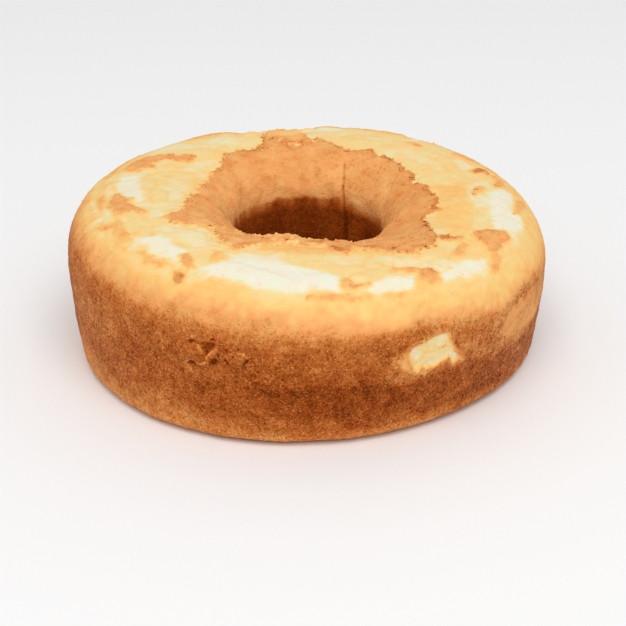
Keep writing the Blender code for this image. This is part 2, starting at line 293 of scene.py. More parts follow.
# Soft patches on the top: corners, tone, how soft their edges are, and strength
TOP_PATCHES = [
    ([(319, 66), (326, 60), (336, 58), (347, 61), (352, 68), (345, 73), (333, 74), (324, 76),
      (320, 72)], 0.32, 3.0, 0.9),
    ([(352, 68), (356, 65), (362, 62.6), (368, 62), (368, 67), (364, 72), (358, 71)],
     0.33, 1.6, 0.8),
    ([(289, 62), (296, 63), (302, 67), (303, 72), (297, 70.5), (290, 68)], 0.38, 1.8, 0.9),
    ([(252, 57), (262, 55), (280, 55), (290, 60), (290, 65), (276, 67), (262, 67), (253, 66)],
     0.33, 3.0, 0.9),
    ([(149, 63), (158, 60), (170, 62), (168, 72), (160, 70), (152, 69)], 0.25, 2.5, 0.8),
    ([(200, 79), (205, 76), (216, 80), (219, 84), (215, 88), (206, 85.5), (201, 84)],
     0.24, 1.4, 0.8),
    ([(294, 86), (298, 84), (300, 85), (300, 95), (296, 95)], 0.37, 1.4, 0.8),
    ([(319, 78), (324, 78), (327, 80), (324, 87), (322, 93), (319.5, 90)], 0.29, 1.6, 0.8),
    ([(241, 92), (247, 91), (258, 92), (268, 95), (268, 99), (254, 98), (243, 96)],
     0.36, 1.6, 0.7),
    ([(222, 76), (222, 64), (227, 61), (230, 66), (229, 75)], 0.14, 2.0, 0.7),
    ([(248, 72), (258, 68), (272, 70), (280, 74), (290, 76), (290, 84), (279, 83), (270, 79),
      (262, 75)], 0.20, 2.0, 0.8),
    ([(242.5, 92.3), (249, 92), (256, 92.5), (261, 94.6), (269, 95.2), (270.6, 91.4),
      (275, 91.6), (277.4, 92.6), (278, 88), (277.4, 83.5), (275, 80.5), (269.5, 78.5),
      (265, 77), (262, 74), (255, 73), (249, 73), (246.6, 76), (247.6, 82), (244, 85),
      (241, 89)], 0.0, 2.0, 1.0),
    ([(215.5, 89.4), (221, 89), (224, 91.3), (229, 91.2), (234, 89.5), (233, 86), (235, 84),
      (231, 82.6), (226, 80.4), (221, 80.4), (218.4, 84), (217, 87)], 0.01, 2.0, 1.0),
    ([(285.2, 95), (289, 94.4), (293, 94), (296.6, 92), (297.4, 88.5), (296, 86), (292, 85.8),
      (288, 87.8), (284.8, 89.6), (284.4, 92.6)], 0.02, 2.0, 1.0),
    ([(304, 90), (303.6, 85), (306, 82), (310, 83), (312, 88)], 0.10, 1.2, 0.9),
    ([(303.6, 93.4), (308, 95), (311, 96.8), (315, 98), (318.4, 96), (319.4, 92), (316.5, 89),
      (311, 88.2), (306, 88.8), (303.8, 90.4)], 0.01, 2.0, 1.0),
    ([(336.8, 89.5), (340, 94), (345, 95.4), (349.6, 94.4), (352, 91.2), (356, 91.3), (360, 92),
      (364, 92.5), (366, 89), (364, 85), (362, 82), (358, 79.4), (352.6, 79.4), (350, 81),
      (344, 80.8), (338, 83.4), (334.6, 85.6)], 0.0, 2.0, 1.0),
    ([(363, 84), (368, 83.5), (374, 82), (375, 79), (368, 78), (364, 80)], 0.12, 1.4, 0.8),
    ([(25, 92), (31, 91), (33, 93.5), (28, 95)], 0.08, 1.2, 0.8),
    ([(21, 79), (26, 77), (31, 80), (29, 84), (24, 84)], 0.06, 1.4, 0.8),
    ([(168.5, 79.6), (171, 82.5), (180, 82.6), (184, 82), (187.4, 79.5), (190, 76),
      (192.4, 73.5), (191.4, 70.2), (187, 71), (180, 73), (173, 74), (169, 76)], 0.02, 2.0, 1.0),
    ([(178, 85), (181, 84), (187, 85), (186, 88), (180, 88)], 0.14, 1.0, 0.8),
    ([(193, 89), (198, 86.8), (203.5, 88.5), (201, 91.5), (196, 91.5)], 0.14, 1.0, 0.8),
    ([(199, 95), (205, 95.4), (205, 97.6), (200, 97.4)], 0.18, 1.0, 0.8),
    ([(216.4, 89), (219, 89.4), (220, 93), (218, 94)], 0.10, 0.8, 0.8),
    ([(227, 95.4), (231, 95.6), (230, 99), (228, 99)], 0.17, 1.0, 0.8),
    ([(265, 97), (271, 97), (272, 99), (266, 99)], 0.22, 1.2, 0.7),
    ([(281, 97), (284, 97.4), (284, 100), (281, 99.4)], 0.22, 1.0, 0.7),
    ([(48, 86), (54, 84), (56, 89), (50, 91)], 0.06, 1.2, 0.9),
    ([(78, 80), (84, 78), (88, 82), (86, 86), (79, 85)], 0.08, 1.4, 0.9),
    ([(118, 74), (126, 71), (131, 76), (127, 80), (119, 79)], 0.10, 1.6, 0.8),
    ([(133, 88), (139, 86), (142, 90), (136, 92)], 0.07, 1.2, 0.9),
    ([(352, 57), (368, 56), (370, 62), (362, 66), (352, 65)], 0.40, 2.6, 0.7),
    ([(50, 88), (64, 87), (76, 89), (74, 98), (62, 101), (50, 99)], 0.40, 3.0, 0.7),
    ([(112, 85), (120, 84), (128, 86), (126, 95), (114, 97)], 0.38, 3.0, 0.8),
    ([(134, 74), (144, 72), (146, 92), (136, 92)], 0.14, 2.5, 0.7),
    ([(286, 60), (296, 60), (308, 66), (306, 73), (296, 72), (286, 68)], 0.26, 2.0, 0.6),
    ([(314, 60), (322, 58), (328, 60), (324, 68), (316, 68)], 0.24, 2.0, 0.7),
    ([(352, 60), (366, 60), (370, 72), (364, 80), (354, 78)], 0.34, 3.0, 0.6),
    ([(212, 67), (230, 64), (246, 73), (262, 70), (264, 76), (246, 79), (228, 79), (212, 76)],
     0.10, 3.0, 0.7),
    ([(312, 66), (324, 64), (326, 69), (322, 71), (314, 72)], 0.15, 1.6, 0.7),
    ([(221, 95), (231, 89.6), (238, 94), (237, 99), (228, 101)], 0.12, 2.0, 0.9),
    ([(233, 91), (240, 87.6), (244.4, 90.4), (244, 95), (239, 98)], 0.11, 1.8, 0.8),
    ([(253, 95), (263, 93), (270, 94), (270, 99), (256, 99)], 0.11, 2.0, 0.9),
    ([(348, 74), (356, 72), (366, 72.6), (370, 78), (362, 81), (350, 80)], 0.08, 2.0, 0.9),
    ([(332, 93.4), (337, 92), (341.6, 94.6), (340, 97.4), (334, 97.4)], 0.08, 1.4, 0.8),
    ([(295, 73.4), (306, 78), (304, 87.6), (294, 84)], 0.11, 3.0, 0.9),
    ([(22, 93), (40, 91), (60, 92), (84, 92), (84, 97), (60, 98), (40, 97.5), (22, 98)],
     0.50, 1.5, 0.7),
    ([(112, 93), (130, 92), (150, 91), (168, 90), (168, 95), (150, 96), (130, 97), (112, 98)],
     0.46, 1.5, 0.6),
]

# Darker flakes of crust on the collar: the blend at their edges, their corners and their tone
MARK_EDGE = (-0.8, 0.8)
COLLAR_MARKS = [
    ([(340, 55.5), (343, 55), (346.4, 57), (344, 58.4), (341, 58)], 0.68),
    ([(349.6, 56), (353, 55.4), (355.4, 57.4), (351, 58)], 0.68),
    ([(333, 53.4), (338, 52.6), (341, 55), (337, 56)], 0.60),
    ([(6, 53), (10, 53), (11, 54.6), (7, 54.8)], 0.60),
    ([(24, 51.6), (29, 51.6), (30, 53.8), (25, 53.6)], 0.60),
    ([(58.6, 57.6), (63.4, 57.2), (62.6, 59.8), (59, 59.6)], 0.60),
    ([(73.6, 55.4), (76, 55.2), (76, 57.6), (74, 57.6)], 0.60),
    ([(308, 71.4), (314, 70.6), (313, 73.2), (309, 73.6)], 0.54),
    ([(315.4, 70), (318, 69), (318.6, 71.5), (316.4, 72.6)], 0.60),
    ([(279, 61), (281, 60), (283, 63), (283.4, 66), (281, 65)], 0.58),
    ([(109.4, 60.6), (112, 60.6), (111.6, 62.4), (110, 62.6)], 0.60),
    ([(46, 55), (49, 54.4), (49, 56), (47, 56.4)], 0.58),
    ([(120, 56.4), (124, 56), (126, 58.4), (121, 58.6)], 0.56),
    ([(88, 52), (92, 51), (93, 55), (89, 55)], 0.54),
    ([(130, 49), (134, 49.6), (133, 51), (130, 51)], 0.56),
]

# The edges of torn layers on the top, as lines through points at angle and radius, with how
# wide and deep they are and how dark they are painted: partly a browned edge and partly painted
# shadow under the step
LAYER_EDGE_WIDTH = 1.5
LAYER_EDGE_DEPTH = 0.35
LAYER_EDGE_BROWN_AND_SHADOW = 0.07
LAYER_EDGES = [
    [(205, 75.6), (211, 77.5), (216, 80.5), (219, 83)],
    [(325, 76.5), (333, 74.2), (340, 73.5), (346, 72.5), (350, 70), (354, 67.5), (359, 64),
     (364, 63.5)],
    [(309.4, 85.6), (311, 82.5), (313.8, 80.6)],
    [(280, 83), (286, 79), (292, 78), (300, 79.5), (306, 80)],
    [(286, 75), (288, 71), (291, 68)],
    [(226, 80), (233, 78), (236, 76)],
    [(168, 67), (176, 66), (186, 68), (194, 69)],
    [(152, 62), (160, 66), (166, 72)],
    [(56, 70), (64, 72), (72, 70), (80, 73)],
    [(22, 70), (30, 72), (38, 71)],
]

# How brown the side is at each height, and how far that pattern is shifted up at each angle
SIDE_TONES = [
    (0.0, 0.60), (4.0, 0.63), (8.0, 0.71), (13.0, 0.80), (19.0, 0.83), (27.0, 0.81),
    (36.0, 0.79), (44.0, 0.76), (49.0, 0.70), (53.0, 0.58), (57.0, 0.46), (61.0, 0.36),
    (65.0, 0.31), (70.0, 0.29),
]
SIDE_SHIFTS = [
    (10, -6.0), (50, -1.0), (100, -2.0), (150, 1.0), (200, 3.0), (222, 2.0), (245, 0.0),
    (290, 0.0), (306, -2.5), (320, -5.0), (336, -5.0), (350, -7.0),
]

# The heights over which the tone of the top gives way to that of the side, and the tones over
# which the mottling of the golden shoulder comes in
SIDE_BLEND = (66.0, 59.0)
SHOULDER_TONES = (0.66, 0.5)

# Soft patches on the side: angle, height, half width, half height, lean and change of tone, and
# how far in from the edge, as a share, the change is full
OVAL_FULL = 0.8
SIDE_PATCHES = [
    (208, 30, 40, 26, 0, -0.04), (276, 20, 40, 13, 0, 0.02), (250, 22, 16, 8, 0, 0.03),
    (248, 40, 12, 6, 0, 0.05), (268, 42, 14, 5, 0, 0.02), (334, 22, 22, 26, 0, -0.10),
    (316, 34, 12, 14, 0, -0.05), (297, 50, 15, 3, -8, 0.04), (324, 49.0, 9, 4.0, 12, 0.08),
    (333, 49.0, 11, 4.0, -12, 0.10), (322, 46, 14, 8, 0, -0.05),
    (300, 33, 10, 4, 0, -0.08), (291, 37, 5, 8, 0, -0.10), (218, 50, 22, 4, 0, 0.04),
    (262, 46, 10, 3, 0, -0.03), (20, 26, 50, 10, 0, 0.06), (75, 36, 40, 7, 4, -0.04),
    (105, 20, 50, 9, 0, 0.07), (150, 34, 30, 8, -6, -0.04), (172, 18, 30, 7, 0, 0.04),
    (60, 48, 18, 4, 10, 0.05), (128, 50, 22, 4, -10, 0.06), (355, 30, 26, 12, 0, -0.05),
    (207, 12, 12, 7, 0, -0.07), (206, 35, 10, 10, 0, -0.06), (225, 18, 8, 7, 0, -0.04),
    (238, 13, 14, 9, 0, -0.08), (262, 28, 14, 6, 0, 0.02), (250, 28, 6, 4, 0, 0.02),
    (286, 41, 4, 5, 0, 0.07), (284, 9, 14, 4, 0, 0.07), (307, 34, 8, 14, 0, -0.06),
    (317, 51, 8, 4, 0, -0.06), (220, 59, 24, 7, 0, -0.04),
]

# Areas of the side with a plain edge: corners at angle and height, change of tone, and softness
SIDE_AREAS = [
    ([(262, 27), (273, 29), (279, 29.2), (285, 27.8), (291, 26.2), (293, 27.6), (297, 27),
      (300, 28), (304, 28.6), (308.6, 28), (314, 27.6), (320, 25.4), (326, 24), (338, 22),
      (338, 12), (318, 8), (300, 9), (285, 10), (270, 11), (260, 14)], 0.06, 1.6),
    ([(320, 43), (326, 44.6), (334, 44.4), (342, 45), (350, 48), (357, 50), (359, 45),
      (352, 39), (345, 33), (339, 28), (331, 26), (325, 27), (319.6, 31), (317.4, 37)],
     -0.14, 3.4),
    ([(328, 28), (336, 27), (343, 30), (344, 12), (328, 10)], 0.04, 3.0),
    ([(289.6, 38), (290.6, 34.5), (292.2, 31.6), (293.6, 29), (296, 28.2), (297.6, 30.2),
      (295.4, 33), (293, 36), (292.4, 40.6), (290.4, 41)], -0.22, 1.6),
    ([(286, 32), (289, 27), (294, 26.6), (296, 30), (292, 33), (288, 36)], -0.05, 1.8),
    ([(236, 18.5), (250, 19), (268, 19), (268, 23), (250, 24), (236, 23)], -0.04, 2.5),
    ([(238, 11), (250, 11), (260, 12), (260, 17), (238, 17)], 0.04, 2.5),
    ([(292, 13), (300, 12), (312, 14), (312, 22), (302, 23), (293, 20)], -0.05, 2.5),
    ([(262, 6), (275, 5), (290, 5), (298, 5), (298, 8.4), (285, 9), (266, 9.4)], 0.07, 2.5),
    ([(256, 23), (284, 24), (284, 35), (256, 34)], 0.04, 4.0),
    ([(230, 33), (282, 35), (282, 48), (230, 48)], 0.025, 5.0),
    ([(288, 26), (302, 27), (302, 31), (288, 31)], -0.05, 2.0),
    ([(284, 42), (291, 42), (294, 50), (284, 50)], 0.05, 2.5),
    ([(310, 20), (319, 20), (319, 29), (310, 29)], -0.05, 3.0),
    ([(316, 24), (336, 24), (336, 44), (316, 44)], -0.025, 4.0),
    ([(224, 28), (236, 27), (236, 36), (224, 37)], 0.04, 3.0),
    ([(220, 50), (230, 50), (230, 55), (220, 55)], -0.08, 2.0),
    ([(232, 51), (280, 51), (280, 54), (232, 54)], -0.03, 2.0),
    ([(211, 33), (222, 33), (222, 39), (211, 39)], -0.05, 3.0),
    ([(200, 14), (210, 14), (210, 30), (200, 30)], -0.05, 3.0),
    ([(281, 53), (292, 53), (292, 61), (281, 61)], -0.10, 3.0),
    ([(266, 36), (272, 33), (284, 32.4), (291, 32), (291, 40), (284, 46), (270, 46)],
     -0.03, 2.5),
]

# Fine patches laid over the side, as low and high angle and low and high height: the folded
# crust and the tear. Then the spacing and thickness of their mesh, how deep the ring is sunk
# under them and how far inside them that is full, how wide their tucked-in edges are and how deep
FOLD_PATCH = (233.0, 262.5, 28.0, 51.0)
TEAR_PATCH = (286.0, 309.5, 25.5, 51.0)
PATCH_GRAIN = 0.27
PATCH_WALL = 0.4
PATCH_BED = 2.6
PATCH_BED_FULL = 5.0
PATCH_LAP = 1.6
PATCH_TUCK = 0.5

# How strong the grain of the side is at each angle, how much weaker it gets on the shoulder and
# over which heights, and how much weaker on the folds and at how high a fold. Then the grain in
# the hole and on loose crumbs
SIDE_GRAIN = [
    (20, 1.1), (90, 1.0), (215, 1.08), (250, 0.95), (280, 0.9), (300, 1.0), (322, 1.35),
    (345, 1.3),
]
HIGH_GRAIN_LOSS = 0.22
HIGH_GRAIN = (40.0, 52.0)
FOLD_GRAIN_LOSS = 0.2
FOLD_GRAIN = (0.15, 0.6)
PLAIN_GRAIN = 0.3

# The tear in the side, as corners at angle and height, how deep it goes, and the distances from
# its edge over which the crust's own shades end and over which it opens. Then the lip of crust
# round it: height, how far inside the tear its top is, and half width
SIDE_TEAR = [
    (291.5, 40.3), (292.2, 42.6), (293.6, 44.0), (295.2, 44.8), (297.2, 46.3), (299.4, 47.0),
    (300.9, 46.2), (301.4, 43.4), (302.4, 40.3), (303.4, 37.4), (303.8, 34.6), (305.8, 31.0),
    (304.2, 31.8), (303.2, 29.8), (302.4, 32.6), (301.8, 34.9), (300.5, 33.8), (299.2, 32.9),
    (298.0, 31.7), (296.0, 32.0), (294.6, 33.8), (293.8, 31.4), (293.0, 33.0), (292.2, 36.1),
]
TEAR_DEPTH = 0.9
TEAR_SHADES = (0.6, -0.6)
TEAR_OPENING = (-0.3, 0.7)
TEAR_LIP = 0.35
TEAR_LIP_INSET = -1.0
TEAR_LIP_WIDTH = 1.4

# Painted highlights and painted shadows in the tear and the folded crust: lighter lines on the lit
# edges of flaps and strips and darker lines in the crevices under them, as two ends at angle and
# height, half width and change of tone
SIDE_HIGHLIGHTS_AND_SHADOWS = [
    ((298.8, 40.0), (300.2, 39.8), 0.7, 0.24), ((300.2, 39.8), (300.7, 40.8), 0.6, 0.28),
    ((300.8, 40.0), (302.2, 38.4), 0.7, 0.20), ((302.9, 41.4), (303.9, 37.6), 1.1, 0.32),
    ((303.0, 37.0), (303.6, 35.6), 0.8, 0.20), ((295.8, 37.0), (297.4, 37.8), 1.2, -0.10),
    ((291.8, 40.2), (292.8, 34.8), 2.2, 0.10), ((293.6, 43.4), (297.0, 45.8), 1.5, 0.05),
    ((302.2, 35.4), (302.3, 34.0), 0.5, -0.16), ((303.6, 34.6), (303.9, 33.0), 0.9, -0.20),
    ((247.8, 35.7), (248.0, 38.1), 0.9, -0.12), ((248.0, 38.1), (249.0, 40.0), 0.9, -0.14),
    ((249.0, 40.0), (250.2, 42.2), 0.9, -0.12), ((246.2, 42.8), (246.8, 41.3), 0.8, -0.08),
    ((246.8, 41.3), (247.2, 39.4), 0.8, -0.08), ((242.8, 33.9), (243.8, 35.3), 0.7, -0.10),
    ((243.8, 35.3), (245.0, 36.3), 0.7, -0.08), ((245.8, 34.9), (247.2, 35.2), 0.7, -0.10),
    ((247.2, 35.2), (248.5, 36.3), 0.7, -0.12), ((255.0, 41.8), (256.5, 42.0), 0.8, -0.12),
    ((256.5, 42.0), (257.3, 41.0), 0.8, -0.12), ((243.8, 32.8), (244.5, 30.9), 1.4, -0.10),
    ((243.6, 33.7), (244.3, 34.6), 0.8, 0.18), ((244.3, 34.6), (245.2, 34.8), 0.8, 0.20),
    ((245.2, 34.8), (245.6, 33.8), 0.7, 0.14), ((249.0, 36.2), (249.5, 37.6), 0.9, 0.20),
    ((249.5, 37.6), (250.3, 37.2), 0.9, 0.16), ((244.2, 43.6), (246.2, 43.9), 0.8, 0.14),
    ((249.2, 46.0), (249.8, 46.0), 0.8, 0.16), ((252.2, 38.4), (253.0, 36.7), 0.7, 0.16),
    ((257.0, 40.0), (257.2, 39.0), 0.8, 0.14), ((257.2, 39.0), (256.2, 37.1), 0.7, 0.14),
    ((256.0, 36.1), (256.8, 36.1), 0.7, 0.14), ((250.8, 40.0), (251.0, 39.4), 0.8, 0.12),
    ((252.6, 43.0), (253.0, 42.4), 0.6, 0.12), ((255.0, 43.9), (255.8, 43.5), 0.6, 0.12),
]

# The folded crust: lifted flaps and strips and the hollows round them, as corners at angle and
# height and how far each stands out at its middle. Then how far out its edge begins and is full,
# how much of the height is there at once, how far in the rest is full, and how much each height
# changes the tone, which is painted shade in the hollows and painted light on the lifted flaps
SIDE_FOLDS = [
    ([(241.4, 34.2), (243.3, 34.6), (244.4, 35.9), (245.6, 34.9), (246.3, 33.9), (247.8, 34.4),
      (247.6, 38.0), (247.3, 40.6), (246.8, 43.0), (244.2, 43.0), (242.6, 40.6),
      (241.2, 37.4)], 0.7),
    ([(247.8, 34.6), (248.8, 35.2), (249.2, 36.8), (249.9, 38.6), (251.0, 41.6), (251.3, 43.0),
      (250.2, 42.6), (248.9, 40.0), (247.8, 38.0)], 1.0),
    ([(255.0, 40.0), (256.0, 38.4), (257.1, 39.5), (257.7, 41.0), (257.2, 42.3), (256.0, 42.0)],
     0.7),
    ([(250.9, 38.6), (253.2, 38.8), (254.6, 40.8), (253.0, 42.6), (251.4, 41.0)], 0.45),
    ([(246.9, 43.4), (247.4, 40.6), (248.0, 39.0), (248.8, 40.6), (249.9, 43.0), (250.1, 44.6),
      (248.5, 44.8), (247.2, 44.4)], -1.3),
    ([(243.4, 34.2), (244.4, 35.5), (245.6, 34.5), (245.4, 33.2), (243.6, 33.2)], -1.5),
    ([(248.8, 34.9), (249.3, 36.6), (250.0, 38.0), (250.7, 37.4), (250.4, 35.6), (249.6, 34.5)],
     -1.8),
    ([(251.9, 38.6), (252.5, 38.6), (253.3, 36.8), (252.8, 36.4), (252.2, 37.4)], -1.3),
    ([(256.3, 38.2), (257.4, 38.9), (257.9, 40.0), (259.2, 40.9), (257.9, 40.8), (257.1, 39.4)],
     -1.3),
    ([(244.2, 43.6), (246.2, 43.9), (246.1, 44.6), (244.4, 44.3)], -1.1),
    ([(248.9, 45.7), (250.1, 45.8), (249.8, 46.5), (249.1, 46.4)], -1.0),
    ([(252.3, 43.0), (252.7, 43.0), (253.1, 42.0), (252.6, 41.8)], -1.0),
    ([(254.8, 43.7), (255.9, 43.3), (255.6, 42.9), (254.9, 43.2)], -0.9),
    ([(255.9, 36.7), (257.2, 37.0), (256.8, 36.2), (256.1, 36.1)], -1.0),
    ([(250.5, 41.0), (251.1, 40.6), (251.0, 39.2), (250.5, 39.4)], -0.7),
    ([(237.6, 38.6), (239.6, 37.0), (239.2, 36.6), (237.4, 38.0)], -0.7),
    ([(245.8, 33.6), (248.4, 34.0), (249.2, 33.4), (246.6, 32.6)], -0.6),
]
FOLD_EDGE = (-0.35, 0.75)
FOLD_EDGE_SHARE = 0.7
FOLD_MIDDLE = (0.3, 2.0)
FOLD_SHADE_AND_LIGHT = [(-1.6, 0.17), (-0.3, 0.03), (0.0, 0.0), (0.5, -0.06)]

# The crack down the back of the funnel: how far it is from the middle, how wide and deep it is,
# and how it thins out between two radii near its upper end
CRACK_OFFSET = 16.7
CRACK_HALF_WIDTH = 1.0
CRACK_DEPTH = 0.3
CRACK_THINNING = 1.1
CRACK_TOP = (42.0, 54.0)

# The crumbly near edge of the funnel, as angle, half width, radius and reach, and how much paler
# its lumps are
LUMPY_EDGE = (264, 56, 50, 12)
LUMPS_PALER = 0.10

# The broken place in the far rim: angle, radius, the turns and distances from them at which it
# begins and is full, and its depth
DENT_PLACE = (101.0, 87.0)
DENT_TURNS = (17.0, 10.0)
DENT_RUNS = (16.0, 8.0)
DENT_DEPTH = 1.7

# Bake tones, from the whitest crumb to scorched crust, as steps of one scale and their colours
BAKE_COLOURS = [
    (0.00, "EFEBDC"), (0.10, "F0E4C2"), (0.20, "F3D79A"), (0.32, "F8CB80"), (0.40, "F8C076"),
    (0.48, "F3AF6D"), (0.56, "EBA15E"), (0.64, "DB8C4A"), (0.72, "CB7536"), (0.80, "B66026"),
    (0.88, "A04B12"), (0.95, "893C08"), (1.00, "6E2B03"),
]

# What a pale fleck on the crust adds to the colour under it, and the faint tints that the whole
# cake's colour drifts between, each with the noise that it is reached at
FLECK_TINT = (1.0, 0.52, 0.26)
FLECK_STRENGTH = 0.13
DRIFT_TINTS = [(0.38, (1.0, 0.95, 0.91, 1.0)), (0.62, (0.96, 1.0, 0.97, 1.0))]
DRIFT_GRAIN = (8.0, 2.0)

# The material's noises, from the finest to the broadest: the size of a grain, and detail. Then
# its specks, with the noise at which they begin and are full as well
GRAINS = [(0.55, 0.0), (0.95, 1.0), (2.2, 1.0), (6.5, 2.0)]
DARK_SPECKS = ((0.8, 0.0), (0.13, 0.20))
PALE_FLECKS = ((0.7, 1.0), (0.10, 0.18))
PITS = ((1.4, 0.0), (0.17, 0.25))

# How much of each of those four noises goes into the ragged edges of the skin, the tear and the
# crack, into the tones of the bare tear, the grained crust and the mottling, and into the bumps
SKIN_RAGGED = (0.0, 1.0, 1.8, 0.0)
TEAR_RAGGED = (0.0, 0.6, 1.0, 0.0)
CRACK_RAGGED = (0.0, 0.7, 0.6, 0.0)
BARE_GRAIN = (0.0, 0.0, 0.16, 0.25)
CRUST_GRAIN = (0.14, 0.24, 0.17, 0.18)
MOTTLING = (0.0, 0.0, 0.6, 1.8)
FINE_BUMPS = (0.6, 1.0, 0.0, 0.0)

# Distances inside the skin at which it begins and is full, and where its browner rim ends and
# the browner crumb round it begins; the same for the bare tear, its scorched rim and the crack
SKIN_BLEND = (-0.45, 0.45)
SKIN_RIM = (0.3, 2.6)
CRUMB_HALO = (-2.6, 0.2)
BARE_BLEND = (-0.8, 1.0)
SCORCH_BLEND = (-3.0, -0.2)
CRACK_BLEND = (0.0, 0.9)

# The tone and strength of the tear's scorched rim, the tones over which the side's grain comes in
# and how strong that grain is on the skin of the top
SCORCH_TONE = 0.57
SCORCH_STRENGTH = 0.75
GRAINED_TONES = (0.44, 0.68)
SKIN_GRAIN = 0.20

# How much browner each mark of the material is, how rough the surface is, and how far each part
# stands out in its bumps, with more of both noises on the grained crust
SHADES = {
    "layer_edge": 0.12, "upper_layer": 0.02, "skin_rim": 0.05, "halo": 0.09, "drift": 0.3,
    "mottling": 0.04, "dark_speck": 0.08, "pit": 0.05, "pale_fleck": -0.08, "cluster": 0.045,
    "crack": 0.15,
}
LAYER_RAGGED = 0.15
CLUSTER_BLEND = (-0.12, 0.16)
ROUGHNESS = {"plain": 0.85, "grained": -0.2, "fine": 0.3}
BUMPS = {
    "fine": 0.06, "grained_fine": 0.64, "middle": 0.2, "grained_middle": 0.6, "pits": -0.5,
    "crack": -0.2, "layer": 0.1,
}

# The height of the bumps in metres, and the faint warm shine of the crust
BUMP_HEIGHT = 1.0 * MM
SHINE = 0.12
SHINE_TINT = (1.0, 0.70, 0.40, 1.0)

# The sockets of a Mix node for its two colours and for their mix
COLOUR_SOCKETS = (6, 7, 2)

# What the material reads on a loose crumb or flake, which is skin all over
ALL_SKIN = {
    "skin_edge": DEEP_IN_SKIN, "tear_edge": -FAR, "crack_line": FAR, "layer_field": -1.0,
    "ragged": 0.0, "grain": PLAIN_GRAIN, "crumb_tone": 0.3,
}

# Tones on the torn top: how much paler its left is, how much darker an upper layer is, and how
# much paler the rim's left is. Then how strong the rim's streaks are, and how much stronger and
# more mottled they are on the left
CREAM_LEFT = 0.035
LAYER_TONE = 0.03
GOLD_LEFT = 0.08
STREAK_TONE = 0.06
STREAK_LEFT = 0.09
MOTTLED_LEFT = 0.6

# Brown streaks in the rim: the noise at which they begin and are full, their tone and the share
# of them on the right; and how much paler the rim's pale spots are, all round and at the front
BROWN_STREAK_EDGE = (0.20, 0.6)
BROWN_STREAK_TONE = 0.14
BROWN_STREAK_RIGHT = 0.4
PALE_SPOT_TONE = 0.10
NEAR_SPOT_TONE = 0.12

# How high a layer of torn crumb stands over the next, and the field over which it steps down
LAYER_RISE = 0.22
LAYER_STEP = (-0.12, 0.14)

# How much of the lumps and the grain each part has: small lumps all over, fine lumps on the torn
# top, fine and finest lumps in the grain, and the grain off the side
SMALL_SHARE = 0.5
TORN_FINE_SHARE = 0.35
GRAIN_SHARES = (0.5, 0.6)
TOP_GRAIN_SHARE = 0.4

# Small lumps on the skin of the top and how far inside it they begin and are full, on the
# funnel's walls below a height, and in the tear, with its fine lumps
SKIN_LUMPS = 0.25
SKIN_LUMPS_EDGE = (0.0, 2.0)
WALL_LUMPS = 0.3
WALL_LUMPS_TOP = 57.5
TEAR_LUMPS = 0.4
TEAR_FINE_LUMPS = 0.35

# The curled edge of the skin: its height, how far in from the edge and how wide it is, and the
# radius that it ends at
CURL_HEIGHT = 0.35
CURL_INSET = 0.7
CURL_WIDTH = 1.2
CURL_END = 80.0

# Where the skin steps down to the torn top, the radii between which that step ends and the
# height that it stays above, and the height over which all relief fades out to the base
SKIN_STEP = (-0.5, 0.5)
TORN_END = (90.0, 97.0)
TORN_LOWEST = CAKE_HEIGHT * 0.8
FOOT_FADE = 3.0

# The radius at which the collar's tone gives way to the crumb's, the height at which the side's
# does, and the radii between which edges stop being ragged
COLLAR_REACH = 92.0
SIDE_TOP = 60.0
RAGGED_END = (97.0, 100.0)

# How far round an island its own tone and edge reach, and how ragged that edge is, against the
# collar's
ISLAND_REACH = 3.0
ISLAND_RAGGED = 0.35

# The tone of the base
BASE_TONE = 0.60

# Where loose crumbs lie: on the near and far rims, as angle, half width, radius and reach, near
# the collar's edge between two radii, and above a height. Then how thick they lie on the near
# rim, on the collar's edge, against how far its sharpness stays under a limit, and elsewhere
NEAR_CRUMBS = (262, 58, 48, 7)
FAR_CRUMBS = (102, 14, 80, 9)
EDGE_CRUMBS_REACH = 1.2
LOOSE_RADII = (44.0, 76.0)
LOOSE_HEIGHT = 58.0
NEAR_THICKNESS = 1.5
EDGE_THICKNESS = 0.35
EDGE_SHARPNESS_LIMIT = 1.15
PLAIN_THICKNESS = 0.015
SPOT_THICKNESS = 0.12

# A loose crumb: how far and how finely it is dented, its least size and how much more it can
# have, the stretch of its sides, how deep it lies, from where inside the skin it has the skin's
# tone, and how its tone varies
CRUMB_DENTS = (0.35, 1.7)
CRUMB_SIZES = (0.4, 1.4)
CRUMB_STRETCH = (0.7, 1.3)
CRUMB_SUNK = 0.3
CRUMB_BROWNED = -0.4
CRUMB_TONES = (-0.06, 0.08)

# Where flakes stand: how far inside the skin, half the width of that band, and how sharp an edge
# has to be
FLAKE_INSET = 0.5
FLAKE_BAND = 0.8
FLAKE_SHARPNESS = 0.1

# A curled flake, as shares of its length: its thickness, how far it curls up along its length
# and down across it, how far its front bulges, how it narrows and frays and how finely, its
# sizes and how far back it is rooted; then its faces, how its tone varies and how far it is lifted
FLAKE_WALL = 0.09
FLAKE_CURL = (0.35, 0.5)
FLAKE_BULGE = 0.3
FLAKE_NARROWING = 0.5
FLAKE_FRAY = (0.2, 3.0)
FLAKE_SIZES = (0.6, 1.3)
FLAKE_ROOT = 0.5
FLAKE_FACES = (5, 4)
FLAKE_TONES = (0.0, 0.09)
FLAKE_LIFT = 0.12

# The floor, with how far it lies below the cake, the lamp, and the camera at the angle that the
# cake is seen from, in metres
FLOOR_CORNERS = 64
FLOOR_DROP = 0.2 * MM
FLOOR_ROUGHNESS = 0.7
LAMP_SIZE = 2.6
LAMP_PLACE = (0.15, -1.4, 2.45)
CAMERA_LENS = 82.35
CAMERA_PLACE = (0.0006, -0.5851, 0.2975)
CAMERA_AIM = (0.0028, 0.0037, 0.0071)


